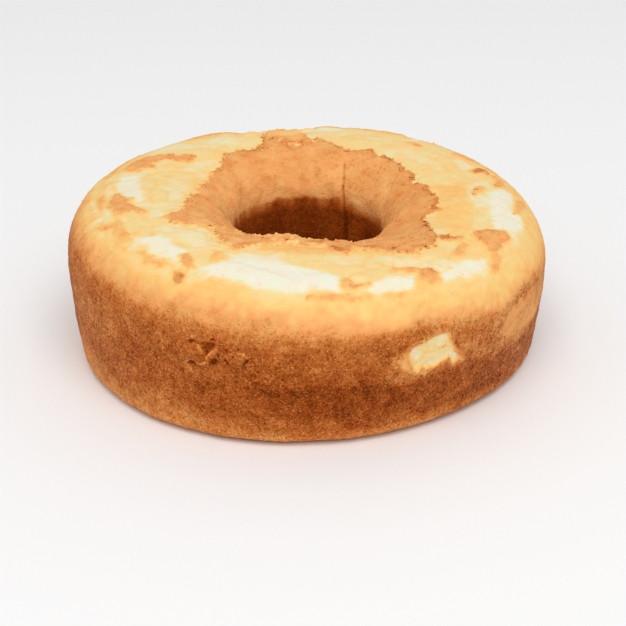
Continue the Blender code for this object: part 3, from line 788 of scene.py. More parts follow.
class Wire:
    """A socket of a shader. Sums of wires and numbers add the Math nodes that work them out."""

    def __init__(self, tree, socket):
        self.tree = tree
        self.socket = socket

    @classmethod
    def node(cls, tree, kind, settings=(), inputs=(), output=0):
        """Adds a node, with its settings made first and then its sockets, and gives one output."""
        made = tree.nodes.new(kind)
        for name, value in dict(settings).items():
            if name == "stops":
                ramp = made.color_ramp
                while len(ramp.elements) < len(value):
                    ramp.elements.new(1.0)
                for element, (place, colour) in zip(ramp.elements, value):
                    element.position = place
                    element.color = colour
            else:
                setattr(made, name, value)
        for name, value in dict(inputs).items():
            if isinstance(value, Wire):
                tree.links.new(value.socket, made.inputs[name])
            else:
                made.inputs[name].default_value = value
        return cls(tree, made.outputs[output])

    def maths(self, operation, first, second):
        settings = {"operation": operation}
        return Wire.node(self.tree, "ShaderNodeMath", settings, {0: first, 1: second})

    def __add__(self, other):
        return self.maths("ADD", self, other)

    def __sub__(self, other):
        return self.maths("SUBTRACT", self, other)

    def __mul__(self, other):
        return self.maths("MULTIPLY", self, other)

    def __radd__(self, other):
        return self.maths("ADD", other, self)

    def __rsub__(self, other):
        return self.maths("SUBTRACT", other, self)

    def __rmul__(self, other):
        return self.maths("MULTIPLY", other, self)

    def eased(self, low, high):
        """Goes smoothly from 0 where the wire is low to 1 where it is high."""
        return Wire.node(
            self.tree,
            "ShaderNodeMapRange",
            {"interpolation_type": "SMOOTHSTEP"},
            {"Value": self, "From Min": low, "From Max": high},
        )


def linear(code):
    """The shader's colour for a six-digit colour code."""
    shares = [int(code[i : i + 2], 16) / 255 for i in (0, 2, 4)]
    lit = [s / 12.92 if s <= 0.04045 else ((s + 0.055) / 1.055) ** 2.4 for s in shares]
    return (*lit, 1.0)


class CakeSettings(PropertyGroup):
    """How rough the baked ring is."""

    skin_thickness: FloatProperty(
        name="Skin thickness",
        description="How far the torn top lies below the browned skin",
        default=0.0007,
        unit="LENGTH",
    )
    lump_height: FloatProperty(
        name="Lump height",
        description="How far the crumb under the skin bulges and sinks",
        default=0.00035,
        unit="LENGTH",
    )
    grain_height: FloatProperty(
        name="Grain height",
        description="Height of the fine grain that the pan left on the side",
        default=0.00030,
        unit="LENGTH",
    )
    crumb_size: FloatProperty(
        name="Crumb size",
        description="How far a loose crumb reaches from its middle",
        default=0.0006,
        unit="LENGTH",
    )
    crumb_count: IntProperty(
        name="Crumbs",
        description="How many loose crumbs lie on the cake",
        default=650,
    )
    flake_length: FloatProperty(
        name="Flake length",
        description="How long a curled flake of skin is",
        default=0.0020,
        unit="LENGTH",
    )
    flake_count: IntProperty(
        name="Flakes",
        description="How many curled flakes stand along the torn edges of the skin",
        default=70,
    )
    seed: IntProperty(
        name="Seed",
        description="Moves the pattern of lumps, ragged edges and grain",
        default=7,
    )


class StageSettings(PropertyGroup):
    """The floor and the light that the cake is seen in."""

    floor_colour: FloatVectorProperty(
        name="Floor colour",
        description="Colour of the plain floor",
        default=(0.93, 0.93, 0.93),
        subtype="COLOR",
    )
    floor_radius: FloatProperty(
        name="Floor radius",
        description="How far the floor reaches from the cake",
        default=6.0,
        unit="LENGTH",
    )
    sky_strength: FloatProperty(
        name="Sky strength",
        description="Brightness of the even light from all round",
        default=0.58,
    )
    lamp_power: FloatProperty(
        name="Lamp power",
        description="Power of the large soft lamp",
        default=50.0,
        unit="POWER",
    )


def ease(low, high, value):
    """Goes smoothly from 0 at low to 1 at high."""
    share = np.clip((value - low) / (high - low), 0.0, 1.0)
    return share * share * (3.0 - 2.0 * share)


def hill(distance):
    """A smooth hill: 1 at distance 0, and 0 from distance 1 on."""
    return (1.0 - np.clip(np.abs(distance), 0.0, 1.0) ** 2) ** 2


def turned_from(angle, degrees):
    """The turn from an angle to this one in degrees, the short way round."""
    return (angle - degrees + FULL_TURN / 2) % FULL_TURN - FULL_TURN / 2


def waves(angle, crests):
    """The sum of waves round the ring, each with its count, height and first crest."""
    return sum(
        height * np.cos(np.radians(count * (angle - crest))) for count, height, crest in crests
    )


def hills(angle, places):
    """The sum of smooth hills round the ring, each with its angle, half width and height."""
    return sum(
        height * hill(turned_from(angle, degrees) / half_width)
        for degrees, half_width, height in places
    )


def round_ring(knots, angle):
    """A value given at some angles, eased between them at all angles."""
    places = np.array([knot[0] for knot in knots], float)
    values = np.array([knot[1] for knot in knots], float)
    after = np.searchsorted(places, angle % FULL_TURN, side="right") % len(knots)
    before = after - 1
    gap = (places[after] - places[before]) % FULL_TURN
    share = ease(0.0, 1.0, ((angle - places[before]) % FULL_TURN) / gap)
    return values[before] + (values[after] - values[before]) * share


def curve(start, start_pull, end_pull, end, steps):
    """Points along a cubic curve, from its start up to just short of its end."""
    knots = [Vector((radius, 0.0, height)) for radius, height in (start, start_pull, end_pull, end)]
    return [(point.x, point.z) for point in geometry.interpolate_bezier(*knots, steps + 1)[:-1]]


def quarter_round(start, corner, end, steps):
    """A quarter of an ellipse from start to end, bulging towards the corner of its box."""
    start_pull = [a + (c - a) * QUARTER_PULL for a, c in zip(start, corner)]
    end_pull = [b + (c - b) * QUARTER_PULL for b, c in zip(end, corner)]
    return curve(start, start_pull, end_pull, end, steps)


def straight(start, end, steps):
    """Even points on a straight line, from its start up to just short of its end."""
    thirds = [[a + (b - a) * share for a, b in zip(start, end)] for share in (1 / 3, 2 / 3)]
    return curve(start, thirds[0], thirds[1], end, steps)


def cake_section():
    """The closed outline of the ring's section, over the top, down the outside and back up."""
    funnel_top = (FUNNEL_RADIUS, CAKE_HEIGHT)
    shoulder = (BELLY_RADIUS - SHOULDER_RUN, CAKE_HEIGHT)
    belly = (BELLY_RADIUS, CAKE_HEIGHT - SHOULDER_DROP)
    foot = (FOOT_RADIUS, FOOT_RISE)
    base_outer = (FOOT_RADIUS - FOOT_RUN, 0.0)
    base_inner = (HOLE_RADIUS + HOLE_EDGE, 0.0)
    hole_bottom = (HOLE_RADIUS, HOLE_EDGE)
    lip = (LIP_RADIUS, CAKE_HEIGHT - LIP_DROP)

    dome = CAKE_HEIGHT + CROWN_RISE / CURVE_SHARE
    third = (shoulder[0] - funnel_top[0]) / 3
    side_pull = SHOULDER_DROP / 2
    lip_pull = LIP_DROP * LIP_PULL
    funnel_pull = (FUNNEL_RADIUS - LIP_RADIUS) * FUNNEL_PULL
    crown_pulls = (funnel_top[0] + third, dome), (shoulder[0] - third, dome)
    side_pulls = (belly[0], belly[1] - side_pull), (foot[0] + FOOT_FLARE, foot[1] + side_pull)
    funnel_pulls = (lip[0], lip[1] + lip_pull), (funnel_top[0] - funnel_pull, CAKE_HEIGHT)

    points = SECTION_POINTS
    outline = curve(funnel_top, *crown_pulls, shoulder, points["crown"])
    outline += quarter_round(shoulder, (belly[0], shoulder[1]), belly, points["shoulder"])
    outline += curve(belly, *side_pulls, foot, points["side"])
    outline += quarter_round(foot, (foot[0], 0.0), base_outer, points["foot"])
    outline += straight(base_outer, base_inner, points["base"])
    outline += quarter_round(base_inner, (HOLE_RADIUS, 0.0), hole_bottom, points["hole_edge"])
    outline += straight(hole_bottom, lip, points["throat"])
    outline += curve(lip, *funnel_pulls, funnel_top, points["funnel"])
    return np.array(outline)


def section_parts():
    """The name of the section's part that each of its points is on."""
    return np.repeat(list(SECTION_POINTS), list(SECTION_POINTS.values()))


def out_of_round(radius, angle, height):
    """The turned points, moved by the ring's low waves."""
    rise = np.clip(height / CAKE_HEIGHT, 0.0, 1.0)
    reach = radius / BELLY_RADIUS
    lift = rise**2 * (reach * waves(angle, TOP_TILT) + reach**2 * waves(angle, TOP_SADDLE))
    outside = ease(SWELL_START, BELLY_RADIUS - SHOULDER_RUN, radius)
    swell = rise * waves(angle, BELLY_SWELLS) + (1.0 - rise) * waves(angle, FOOT_SWELLS)
    return radius + outside * swell, height + lift


def funnel_sag(radius, angle, height):
    """How far the edge of the funnel has sunk."""
    reach = hill((radius - SAG_RADIUS) / SAG_REACH)
    return hills(angle, FUNNEL_SAGS) * reach * (height > CAKE_HEIGHT / 2)


def uneven_turn():
    """The angles of the turned steps, closer together where the side is folded and torn."""
    even = np.linspace(0.0, FULL_TURN, EVEN_STEPS + 1)
    share = 1.0 + hills(even, CLOSER_TURNS)
    steps = np.concatenate([[0.0], np.cumsum((share[1:] + share[:-1]) / 2)])
    return np.interp(np.arange(TURN_STEPS) / TURN_STEPS, steps / steps[-1], even)


def from_segment(across, up, start, end):
    """Distance from a straight line between two places."""
    run, rise = end[0] - start[0], end[1] - start[1]
    share = ((across - start[0]) * run + (up - start[1]) * rise) / (run * run + rise * rise)
    share = np.clip(share, 0.0, 1.0)
    return np.hypot(across - start[0] - share * run, up - start[1] - share * rise)


def flat_places(angle, radius, places):
    """Angles, and places with an angle and a height, with the angles as millimetres round."""
    reach = math.radians(radius)
    start = places[0][0]
    flat = [(turned_from(place[0], start) * reach, place[1]) for place in places]
    return turned_from(angle, start) * reach, flat


def from_path(angle, up, radius, places):
    """Distance in millimetres from a line through places at an angle and a height."""
    across, flat = flat_places(angle, radius, places)
    return np.min([from_segment(across, up, *ends) for ends in zip(flat, flat[1:])], 0)


def inside_outline(angle, up, radius, places, margin=6.0):
    """Distance inside a closed outline in millimetres, below 0 down to -margin outside it."""
    across, flat = flat_places(angle, radius, places)
    low, high = np.min(flat, 0) - margin, np.max(flat, 0) + margin
    near = (across > low[0]) & (across < high[0]) & (up > low[1]) & (up < high[1])
    across, up = across[near], up[near]
    distance = np.full(across.shape, margin)
    inside = np.zeros(across.shape, bool)
    for start, end in zip(flat, flat[1:] + flat[:1]):
        distance = np.minimum(distance, from_segment(across, up, start, end))
        crosses = (start[1] > up) != (end[1] > up)
        rise = (end[1] - start[1]) or 1.0
        meets = start[0] + (up - start[1]) / rise * (end[0] - start[0])
        inside ^= crosses & (across < meets)
    depth = np.full(near.shape, -margin)
    depth[near] = np.where(inside, distance, -distance)
    return depth


class Ring:
    """Part of the ring as arrays, with one value for each point of a section at each turn."""

    def __init__(self, section, parts, turn, seed):
        self.radius = np.tile(section[:, 0], (len(turn), 1))
        self.height = np.tile(section[:, 1], (len(turn), 1))
        self.angle = np.tile(turn[:, None], (1, len(section)))
        self.across = self.radius * np.cos(np.radians(self.angle))
        self.along = self.radius * np.sin(np.radians(self.angle))
        self.seed = seed

        parts = np.tile(parts, (len(turn), 1))
        self.on_top = np.isin(parts, ("crown", "shoulder", "funnel"))
        self.on_outside = np.isin(parts, ("shoulder", "side", "foot"))
        self.in_hole = np.isin(parts, ("throat", "funnel"))
        self.underneath = np.isin(parts, ("base", "hole_edge"))

        self.ragged_radius = self.radius + self.mixed(RAGGED_OUT)
        self.ragged_angle = self.angle + np.degrees(self.mixed(RAGGED_ROUND) / self.radius)

    def noise_at(self, places, layer):
        """Noise from about -1 to 1 at places in the unit of its lumps."""
        shift = Vector([self.seed * seeded + layer * layered for seeded, layered in NOISE_STEPS])
        values = [noise.noise(Vector(place) + shift) for place in places.reshape(-1, 3)]
        return np.array(values).reshape(self.radius.shape)

    def clouds(self, size, layer):
        """Noise with round lumps of a size."""
        places = np.stack([self.across, self.along, self.height], -1)
        return self.noise_at(places / size, layer)

    def mixed(self, noises):
        """The sum of noises with round lumps, each with its strength, lump size and layer."""
        return sum(strength * self.clouds(size, layer) for strength, size, layer in noises)

    def spots(self, low, high, size, layer):
        """Soft spots: 0 where the noise is below low, and 1 where it is above high."""
        return ease(low, high, self.clouds(size, layer))

    def streaks(self, length, width, layer):
        """Noise drawn out round the ring, with streaks of a length and a width."""
        turn = np.radians(self.angle)
        reach = BELLY_RADIUS / length
        out = (self.radius - self.height) / width
        return self.noise_at(np.stack([np.cos(turn) * reach, np.sin(turn) * reach, out], -1), layer)

    def streaked(self, noises):
        """The sum of streaks, each with its strength, length, width and layer."""
        return sum(strength * self.streaks(*streak) for strength, *streak in noises)

    def near_place(self, angle, half_width, radius, reach):
        """A smooth hill: 1 at an angle and radius, and 0 from the half width or reach on."""
        turn = turned_from(self.angle, angle)
        return hill(turn / half_width) * hill((self.radius - radius) / reach)

    def on_top_outline(self, corners):
        """Distance inside a ragged outline on the top in millimetres, below 0 outside it."""
        radius = sum(corner[1] for corner in corners) / len(corners)
        return inside_outline(self.ragged_angle, self.ragged_radius, radius, corners)

    def on_side_outline(self, corners):
        """Distance inside an outline on the side in millimetres, below 0 outside it."""
        return inside_outline(self.angle, self.height, BELLY_RADIUS, corners)

    def in_side_oval(self, angle, height, half_width, half_height, lean):
        """How deep a point of the side is in a leaning oval: 1 in the middle, 0 at its edge."""
        up = (self.height - height) / half_height
        round_ = turned_from(self.ragged_angle, angle) / half_width
        cos, sin = math.cos(math.radians(lean)), math.sin(math.radians(lean))
        return 1.0 - np.hypot(round_ * cos + up * sin, up * cos - round_ * sin)

    def in_patch(self, patch):
        """Distance inside a patch of the side in millimetres."""
        low_angle, high_angle, low, high = patch
        from_ends = np.minimum(self.angle - low_angle, high_angle - self.angle)
        from_edges = np.minimum(self.height - low, high - self.height)
        inside = np.minimum(from_ends * math.radians(BELLY_RADIUS), from_edges)
        return np.where(self.on_outside, inside, -1.0)


def skin_edge(ring, islands):
    """Distance inside the browned skin of the top in millimetres, below 0 where it tore off."""
    edge = round_ring(COLLAR_EDGE, ring.ragged_angle) - ring.ragged_radius
    for spot in BARE_SPOTS:
        edge = np.minimum(edge, -ring.on_top_outline(spot))
    edge *= round_ring(COLLAR_SHARPNESS, ring.angle)
    for (_, _, sharpness), depth in zip(SKIN_ISLANDS, islands):
        edge = np.maximum(edge, depth * sharpness)
    return edge


def tear_edge(ring):
    """Distance inside the tear in the side, below 0 outside it."""
    return np.where(ring.on_outside, ring.on_side_outline(SIDE_TEAR), -FAR)


def crack_line(ring):
    """Distance across the crack down the back of the funnel, from its middle."""
    across = np.abs(ring.across - CRACK_OFFSET + ring.mixed(CRACK_CLOUDS))
    elsewhere = ~ring.in_hole | (ring.along < 0.0)
    return across + CRACK_THINNING * ease(*CRACK_TOP, ring.radius) + FAR * elsewhere


def fold_rise(ring):
    """How far the folded crust of the side stands out, below 0 in its hollows."""
    rise = np.zeros(ring.radius.shape)
    ragged = ring.mixed(FOLD_CLOUDS)
    for corners, height in SIDE_FOLDS:
        depth = ring.on_side_outline(corners) + ragged
        share = FOLD_EDGE_SHARE + (1.0 - FOLD_EDGE_SHARE) * ease(*FOLD_MIDDLE, depth)
        rise += height * share * ease(*FOLD_EDGE, depth)
    return rise * ring.on_outside


def torn_layers(ring):
    """Fields of two layers of flaky crumb, above 0 where each stays and below where it tore."""
    return [ring.mixed(noises) for noises in LAYER_CLOUDS]


def layer_edge(ring):
    """How near a point is to the edge of a torn layer: 1 on it, and 0 from its width on."""
    near = np.zeros(ring.radius.shape)
    for path in LAYER_EDGES:
        radius = sum(place[1] for place in path) / len(path)
        distance = from_path(ring.ragged_angle, ring.ragged_radius, radius, path)
        near = np.maximum(near, hill(distance / LAYER_EDGE_WIDTH))
    return near * ring.on_top


def top_tone(ring, edges):
    """How brown the torn top is, with painted shadow along the edges of its torn layers."""
    left = hills(ring.angle, STREAKED)
    tone = CREAM_TONE - CREAM_LEFT * left + ring.mixed(CREAM_CLOUDS)
    tone += LAYER_TONE * ease(*LAYER_STEP, edges["layers"][0])
    # Darker lines on the torn layers' edges: partly their browned edge and partly painted shadow
    # under the step
    tone += LAYER_EDGE_BROWN_AND_SHADOW * layer_edge(ring)

    rim = ease(*GOLD_BLEND, ring.ragged_radius - round_ring(GOLD_EDGE, ring.ragged_angle))
    golden = GOLD_TONE - GOLD_LEFT * left
    golden += (STREAK_TONE + STREAK_LEFT * left) * ring.streaked(GOLD_STREAKS)
    golden += (1.0 + MOTTLED_LEFT * left) * ring.mixed(GOLD_CLOUDS)
    tone += (golden - tone) * rim
    brown = ease(*BROWN_STREAK_EDGE, ring.streaked(BROWN_STREAKS))
    brown *= BROWN_STREAK_RIGHT + (1.0 - BROWN_STREAK_RIGHT) * left
    pale = PALE_SPOT_TONE * ring.spots(*PALE_GOLD_SPOTS)
    pale += NEAR_SPOT_TONE * hills(ring.angle, SPOTTED) * ring.spots(*NEAR_PALE_SPOTS)
    tone += rim * (BROWN_STREAK_TONE * brown - pale)

    ragged = ring.mixed(PATCH_CLOUDS)
    for corners, patch_tone, softness, strength in TOP_PATCHES:
        share = strength * ease(-softness, softness, ring.on_top_outline(corners) + ragged)
        tone += (patch_tone - tone) * share
    ragged = ring.mixed(ISLAND_GLOW_CLOUDS)
    for (_, island_tone, _), depth in zip(SKIN_ISLANDS, edges["islands"]):
        browner = np.maximum(island_tone - GLOW_PALER - tone, 0.0)
        tone += browner * ISLAND_GLOW * ease(*GLOW_EDGE, depth + ragged)
    return tone


def side_tone(ring, tear):
    """How brown the side is."""
    shift = round_ring(SIDE_SHIFTS, ring.angle) - ring.mixed(SIDE_EDGE_CLOUDS)
    tone = np.interp(ring.height - shift, *zip(*SIDE_TONES))
    for *oval, change in SIDE_PATCHES:
        tone += change * ease(0.0, OVAL_FULL, ring.in_side_oval(*oval))
    crusted = ease(*TEAR_SHADES, tear)
    ragged = ring.mixed(AREA_EDGE_CLOUDS)
    for corners, change, softness in SIDE_AREAS:
        depth = ring.on_side_outline(corners) + ragged
        tone += change * crusted * ease(-softness, softness, depth)
    mottled = ease(*SHOULDER_TONES, tone) * ring.mixed(SHOULDER_CLOUDS)
    return tone + mottled + ring.mixed(SIDE_CLOUDS)


def collar_tone(ring):
    """How brown the collar and the hole are, with painted shade deep in the hole and painted light
    on the funnel's walls.
    """
    tone = COLLAR_TONE + ring.mixed(COLLAR_CLOUDS)
    for angle, half_width, begins, full, change in COLLAR_SHADES:
        shaded = hill(turned_from(ring.angle, angle) / half_width)
        tone += change * shaded * ease(begins, full, ring.radius)
    from_spots = np.abs(turned_from(ring.angle, SPOT_ANGLE))
    tone += SPOT_TONE * ring.spots(*COLLAR_SPOTS) * ease(*SPOT_TURNS, from_spots)
    # Painted light: the funnel's walls are made paler against the shade that falls in the funnel
    pale = hills(ring.angle, PAINTED_LIGHT_WALLS) * ease(*PAINTED_LIGHT_HEIGHTS, ring.height)
    tone -= pale * ring.in_hole
    for corners, mark in COLLAR_MARKS:
        tone += (mark - tone) * ease(*MARK_EDGE, ring.on_top_outline(corners))

    # Painted shade deep in the hole, laid over its dark-baked crust: darker with depth, lower to
    # both sides of the back
    from_back = np.abs(turned_from(ring.angle, BACK_ANGLE))
    drop = THROAT_DROP * ease(*BACK_TURNS, from_back) + hills(ring.angle, THROAT_DROPS)
    height = ring.height + drop + ring.mixed(THROAT_EDGE_CLOUDS)
    burnt_and_shaded = np.interp(height, *zip(*THROAT_BURN_AND_SHADE)) + ring.mixed(THROAT_CLOUDS)
    return np.where(ring.in_hole, np.maximum(tone, burnt_and_shaded), tone)


def near_lumps(ring):
    """How far crumbly lumps stand out on the near edge of the funnel."""
    return ring.near_place(*LUMPY_EDGE) * ring.mixed(NEAR_LUMP_CLOUDS) * ring.on_top


def far_dent(ring):
    """How far the far rim has crumbled away."""
    angle, radius = DENT_PLACE
    broken = DENT_DEPTH * (1.0 + ring.mixed(FAR_DENT_CLOUDS)) * ring.on_top
    broken *= ease(*DENT_TURNS, np.abs(turned_from(ring.ragged_angle, angle)))
    return broken * ease(*DENT_RUNS, np.abs(ring.ragged_radius - radius))


def blank(kind, name):
    """Adds a primitive with nothing else selected, and names it."""
    bpy.ops.object.select_all(action="DESELECT")
    kind()
    piece = bpy.context.object
    piece.name = name
    piece.data.name = name
    return piece


def walled(piece, thickness):
    """Gives a piece a thickness, below the surface that it has."""
    wall = piece.modifiers.new("Wall", "SOLIDIFY")
    wall.thickness = thickness
    wall.offset = -1.0
    bpy.ops.object.modifier_apply(modifier=wall.name)


def vertex_places(mesh):
    """The places of a mesh's vertices, with one row for each."""
    flat = np.empty(len(mesh.vertices) * 3)
    mesh.vertices.foreach_get("co", flat)
    return flat.reshape(-1, 3)


def turned_section(name):
    """The section, drawn from a circle of points and turned all the way round the Z axis."""
    section = cake_section() * MM
    piece = blank(lambda: bpy.ops.mesh.primitive_circle_add(vertices=len(section)), name)
    for vertex, (radius, height) in zip(piece.data.vertices, section):
        vertex.co = (radius, 0.0, height)
    turn = piece.modifiers.new("Turn", "SCREW")
    turn.steps = turn.render_steps = TURN_STEPS
    turn.use_merge_vertices = True
    turn.merge_threshold = MM / 100
    bpy.ops.object.modifier_apply(modifier=turn.name)
    bpy.ops.object.mode_set(mode="EDIT")
    bpy.ops.mesh.select_all(action="SELECT")
    bpy.ops.mesh.normals_make_consistent(inside=False)
    bpy.ops.object.mode_set(mode="OBJECT")
    return piece


def ring_places(mesh):
    """For each vertex, the turned step and the point of the section that it is."""
    across, along, height = vertex_places(mesh).T / MM
    radius = np.hypot(across, along)
    turn = np.degrees(np.arctan2(along, across)) % FULL_TURN
    steps = np.rint(turn / FULL_TURN * TURN_STEPS).astype(int) % TURN_STEPS
    best = np.full(len(radius), np.inf)
    points = np.zeros(len(radius), int)
    for index, (section_radius, section_height) in enumerate(cake_section()):
        gap = np.hypot(radius - section_radius, height - section_height)
        nearer = gap < best
        best[nearer] = gap[nearer]
        points[nearer] = index
    return steps, points


def rounded(radius, angle, height):
    """Places of the smooth ring, with its waves and sags but before it is centred."""
    wide, lifted = out_of_round(radius, angle, height)
    lifted = np.where(height > 0.0, lifted - funnel_sag(radius, angle, height), 0.0)
    turn = np.radians(angle)
    return np.stack([wide * np.cos(turn), wide * np.sin(turn), lifted], -1)


def smooth_surface(ring):
    """The smooth ring's points in millimetres, with the whole ring centred on the Z axis."""
    section, turn = cake_section(), uneven_turn()
    whole = rounded(section[None, :, 0], turn[:, None], section[None, :, 1])
    middle = (whole.max((0, 1)) + whole.min((0, 1))) / 2
    return rounded(ring.radius, ring.angle, ring.height) - (middle[0], middle[1], 0.0)


def faced(points):
    """The outward directions of a surface's points."""
    normals = np.cross(np.gradient(points, axis=1), np.gradient(points, axis=0))
    return normals / np.linalg.norm(normals, axis=-1, keepdims=True)


def relief(ring, edges):
    """How far each point stands out from the smooth ring."""
    skin, tear = edges["skin_edge"], edges["tear_edge"]
    settings = bpy.context.scene.cake
    lump, grain = settings.lump_height / MM, settings.grain_height / MM
    small, fine, finest = (ring.clouds(*lumps) for lumps in (SMALL_LUMPS, FINE_LUMPS, FINEST_LUMPS))
    torn = (1.0 - ease(*SKIN_STEP, skin)) * (1.0 - ease(*TORN_END, ring.ragged_radius))
    torn *= ring.on_top & (ring.height > TORN_LOWEST)

    out = lump * (ring.clouds(*LARGE_LUMPS) + SMALL_SHARE * small)
    layers = sum(ease(*LAYER_STEP, layer) for layer in edges["layers"]) - 1.0
    sunk = LAYER_RISE * layers - LAYER_EDGE_DEPTH * layer_edge(ring)
    sunk += lump * TORN_FINE_SHARE * fine - settings.skin_thickness / MM
    grained = grain * (GRAIN_SHARES[0] * fine + GRAIN_SHARES[1] * finest)
    grained *= TOP_GRAIN_SHARE + (1.0 - TOP_GRAIN_SHARE) * ring.on_outside
    out += torn * sunk + (1.0 - torn) * grained
    curled = hill((skin - CURL_INSET) / CURL_WIDTH) * ring.spots(*CURLED_SPOTS)
    out += CURL_HEIGHT * curled * (ring.on_top & (ring.ragged_radius < CURL_END))
    out += near_lumps(ring) - far_dent(ring)
    skinned = ease(*SKIN_LUMPS_EDGE, skin)
    skinned *= ring.on_top & (ring.ragged_radius < COLLAR_REACH)
    walls = ring.in_hole & (ring.height < WALL_LUMPS_TOP)
    out += small * (SKIN_LUMPS * skinned + WALL_LUMPS * walls)

    opened = ease(*TEAR_OPENING, tear)
    out -= opened * (TEAR_DEPTH + TEAR_FINE_LUMPS * fine + TEAR_LUMPS * small)
    out += TEAR_LIP * hill((tear - TEAR_LIP_INSET) / TEAR_LIP_WIDTH) * ring.on_outside
    out += edges["fold_rise"]
    out -= CRACK_DEPTH * hill(edges["crack_line"] / CRACK_HALF_WIDTH)
    settled = ring.underneath | (ring.height <= 0.0)
    return np.where(settled, 0.0, out * ease(0.0, FOOT_FADE, ring.height))


def surface_edges(ring):
    """The fields that both the shape and the colour of the ring come from."""
    islands = [ring.on_top_outline(corners) for corners, _, _ in SKIN_ISLANDS]
    return {
        "skin_edge": skin_edge(ring, islands), "islands": islands, "tear_edge": tear_edge(ring),
        "crack_line": crack_line(ring), "fold_rise": fold_rise(ring), "layers": torn_layers(ring),
    }


def surface_tones(ring, edges):
    """The values that the material reads at each point."""
    crumb = top_tone(ring, edges)
    side = ease(*SIDE_BLEND, ring.height) * ring.on_outside
    crumb += (side_tone(ring, edges["tear_edge"]) - crumb) * side
    # Painted shade in the fold's hollows and painted light on its lifted flaps
    crumb += np.interp(edges["fold_rise"], *zip(*FOLD_SHADE_AND_LIGHT))
    # Painted highlights on the lit edges of flaps and painted shadows in the crevices under them
    for *ends, half_width, change in SIDE_HIGHLIGHTS_AND_SHADOWS:
        crumb += change * hill(from_path(ring.angle, ring.height, BELLY_RADIUS, ends) / half_width)

    paler = LUMPS_PALER * near_lumps(ring)
    skin = np.where(ring.ragged_radius < COLLAR_REACH, collar_tone(ring) - paler, crumb)
    islands = ring.mixed(ISLAND_CLOUDS)
    deepest = np.full(ring.radius.shape, -ISLAND_REACH)
    for (_, tone, _), depth in zip(SKIN_ISLANDS, edges["islands"]):
        skin = np.where(depth > deepest, tone + islands, skin)
        deepest = np.maximum(depth, deepest)
    skin = np.where(ring.on_outside & (ring.height < SIDE_TOP), crumb, skin)
    crumb -= paler

    base = BASE_TONE + ring.mixed(BASE_CLOUDS)
    grain = 1.0 - FOLD_GRAIN_LOSS * ease(*FOLD_GRAIN, np.abs(edges["fold_rise"]))
    grain *= 1.0 - HIGH_GRAIN_LOSS * ease(*HIGH_GRAIN, ring.height)
    grain *= round_ring(SIDE_GRAIN, ring.angle)
    ragged = (1.0 - ease(*RAGGED_END, ring.radius)) * ring.on_top
    return {
        "grain": np.where(ring.in_hole, PLAIN_GRAIN, grain),
        "skin_edge": np.where(ring.on_top, edges["skin_edge"], DEEP_IN_SKIN),
        "tear_edge": edges["tear_edge"],
        "crack_line": np.minimum(edges["crack_line"], FAR),
        "layer_field": edges["layers"][0],
        "skin_tone": np.where(ring.underneath, base, skin),
        "crumb_tone": np.where(ring.underneath, base, crumb),
        "ragged": ragged * np.where(deepest > -ISLAND_REACH, ISLAND_RAGGED, 1.0),
    }


def point_values(mesh, name, values):
    """Gives every vertex a value that the material can read."""
    attribute = mesh.attributes.new(name, "FLOAT", "POINT")
    attribute.data.foreach_set("value", values.astype(np.float32))


def shaped(piece, points, tones, picks):
    """Moves each vertex to the point of the ring picked for it, and gives it the tones there."""
    piece.data.vertices.foreach_set("co", (points[picks] * MM).ravel())
    for name, values in tones.items():
        point_values(piece.data, name, values[picks])
    piece.data.update()


def finished(piece):
    """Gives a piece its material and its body."""
    piece.data.materials.clear()
    piece.data.materials.append(cake_material())
    piece.data.shade_smooth()
    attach(piece, BODY)


def bake_colour(tree, tone):
    """The colour of cake baked to a tone from 0, white crumb, to 1, scorched crust."""
    stops = [(place, linear(code)) for place, code in BAKE_COLOURS]
    return Wire.node(tree, "ShaderNodeValToRGB", {"stops": stops}, {"Fac": tone}, "Color")


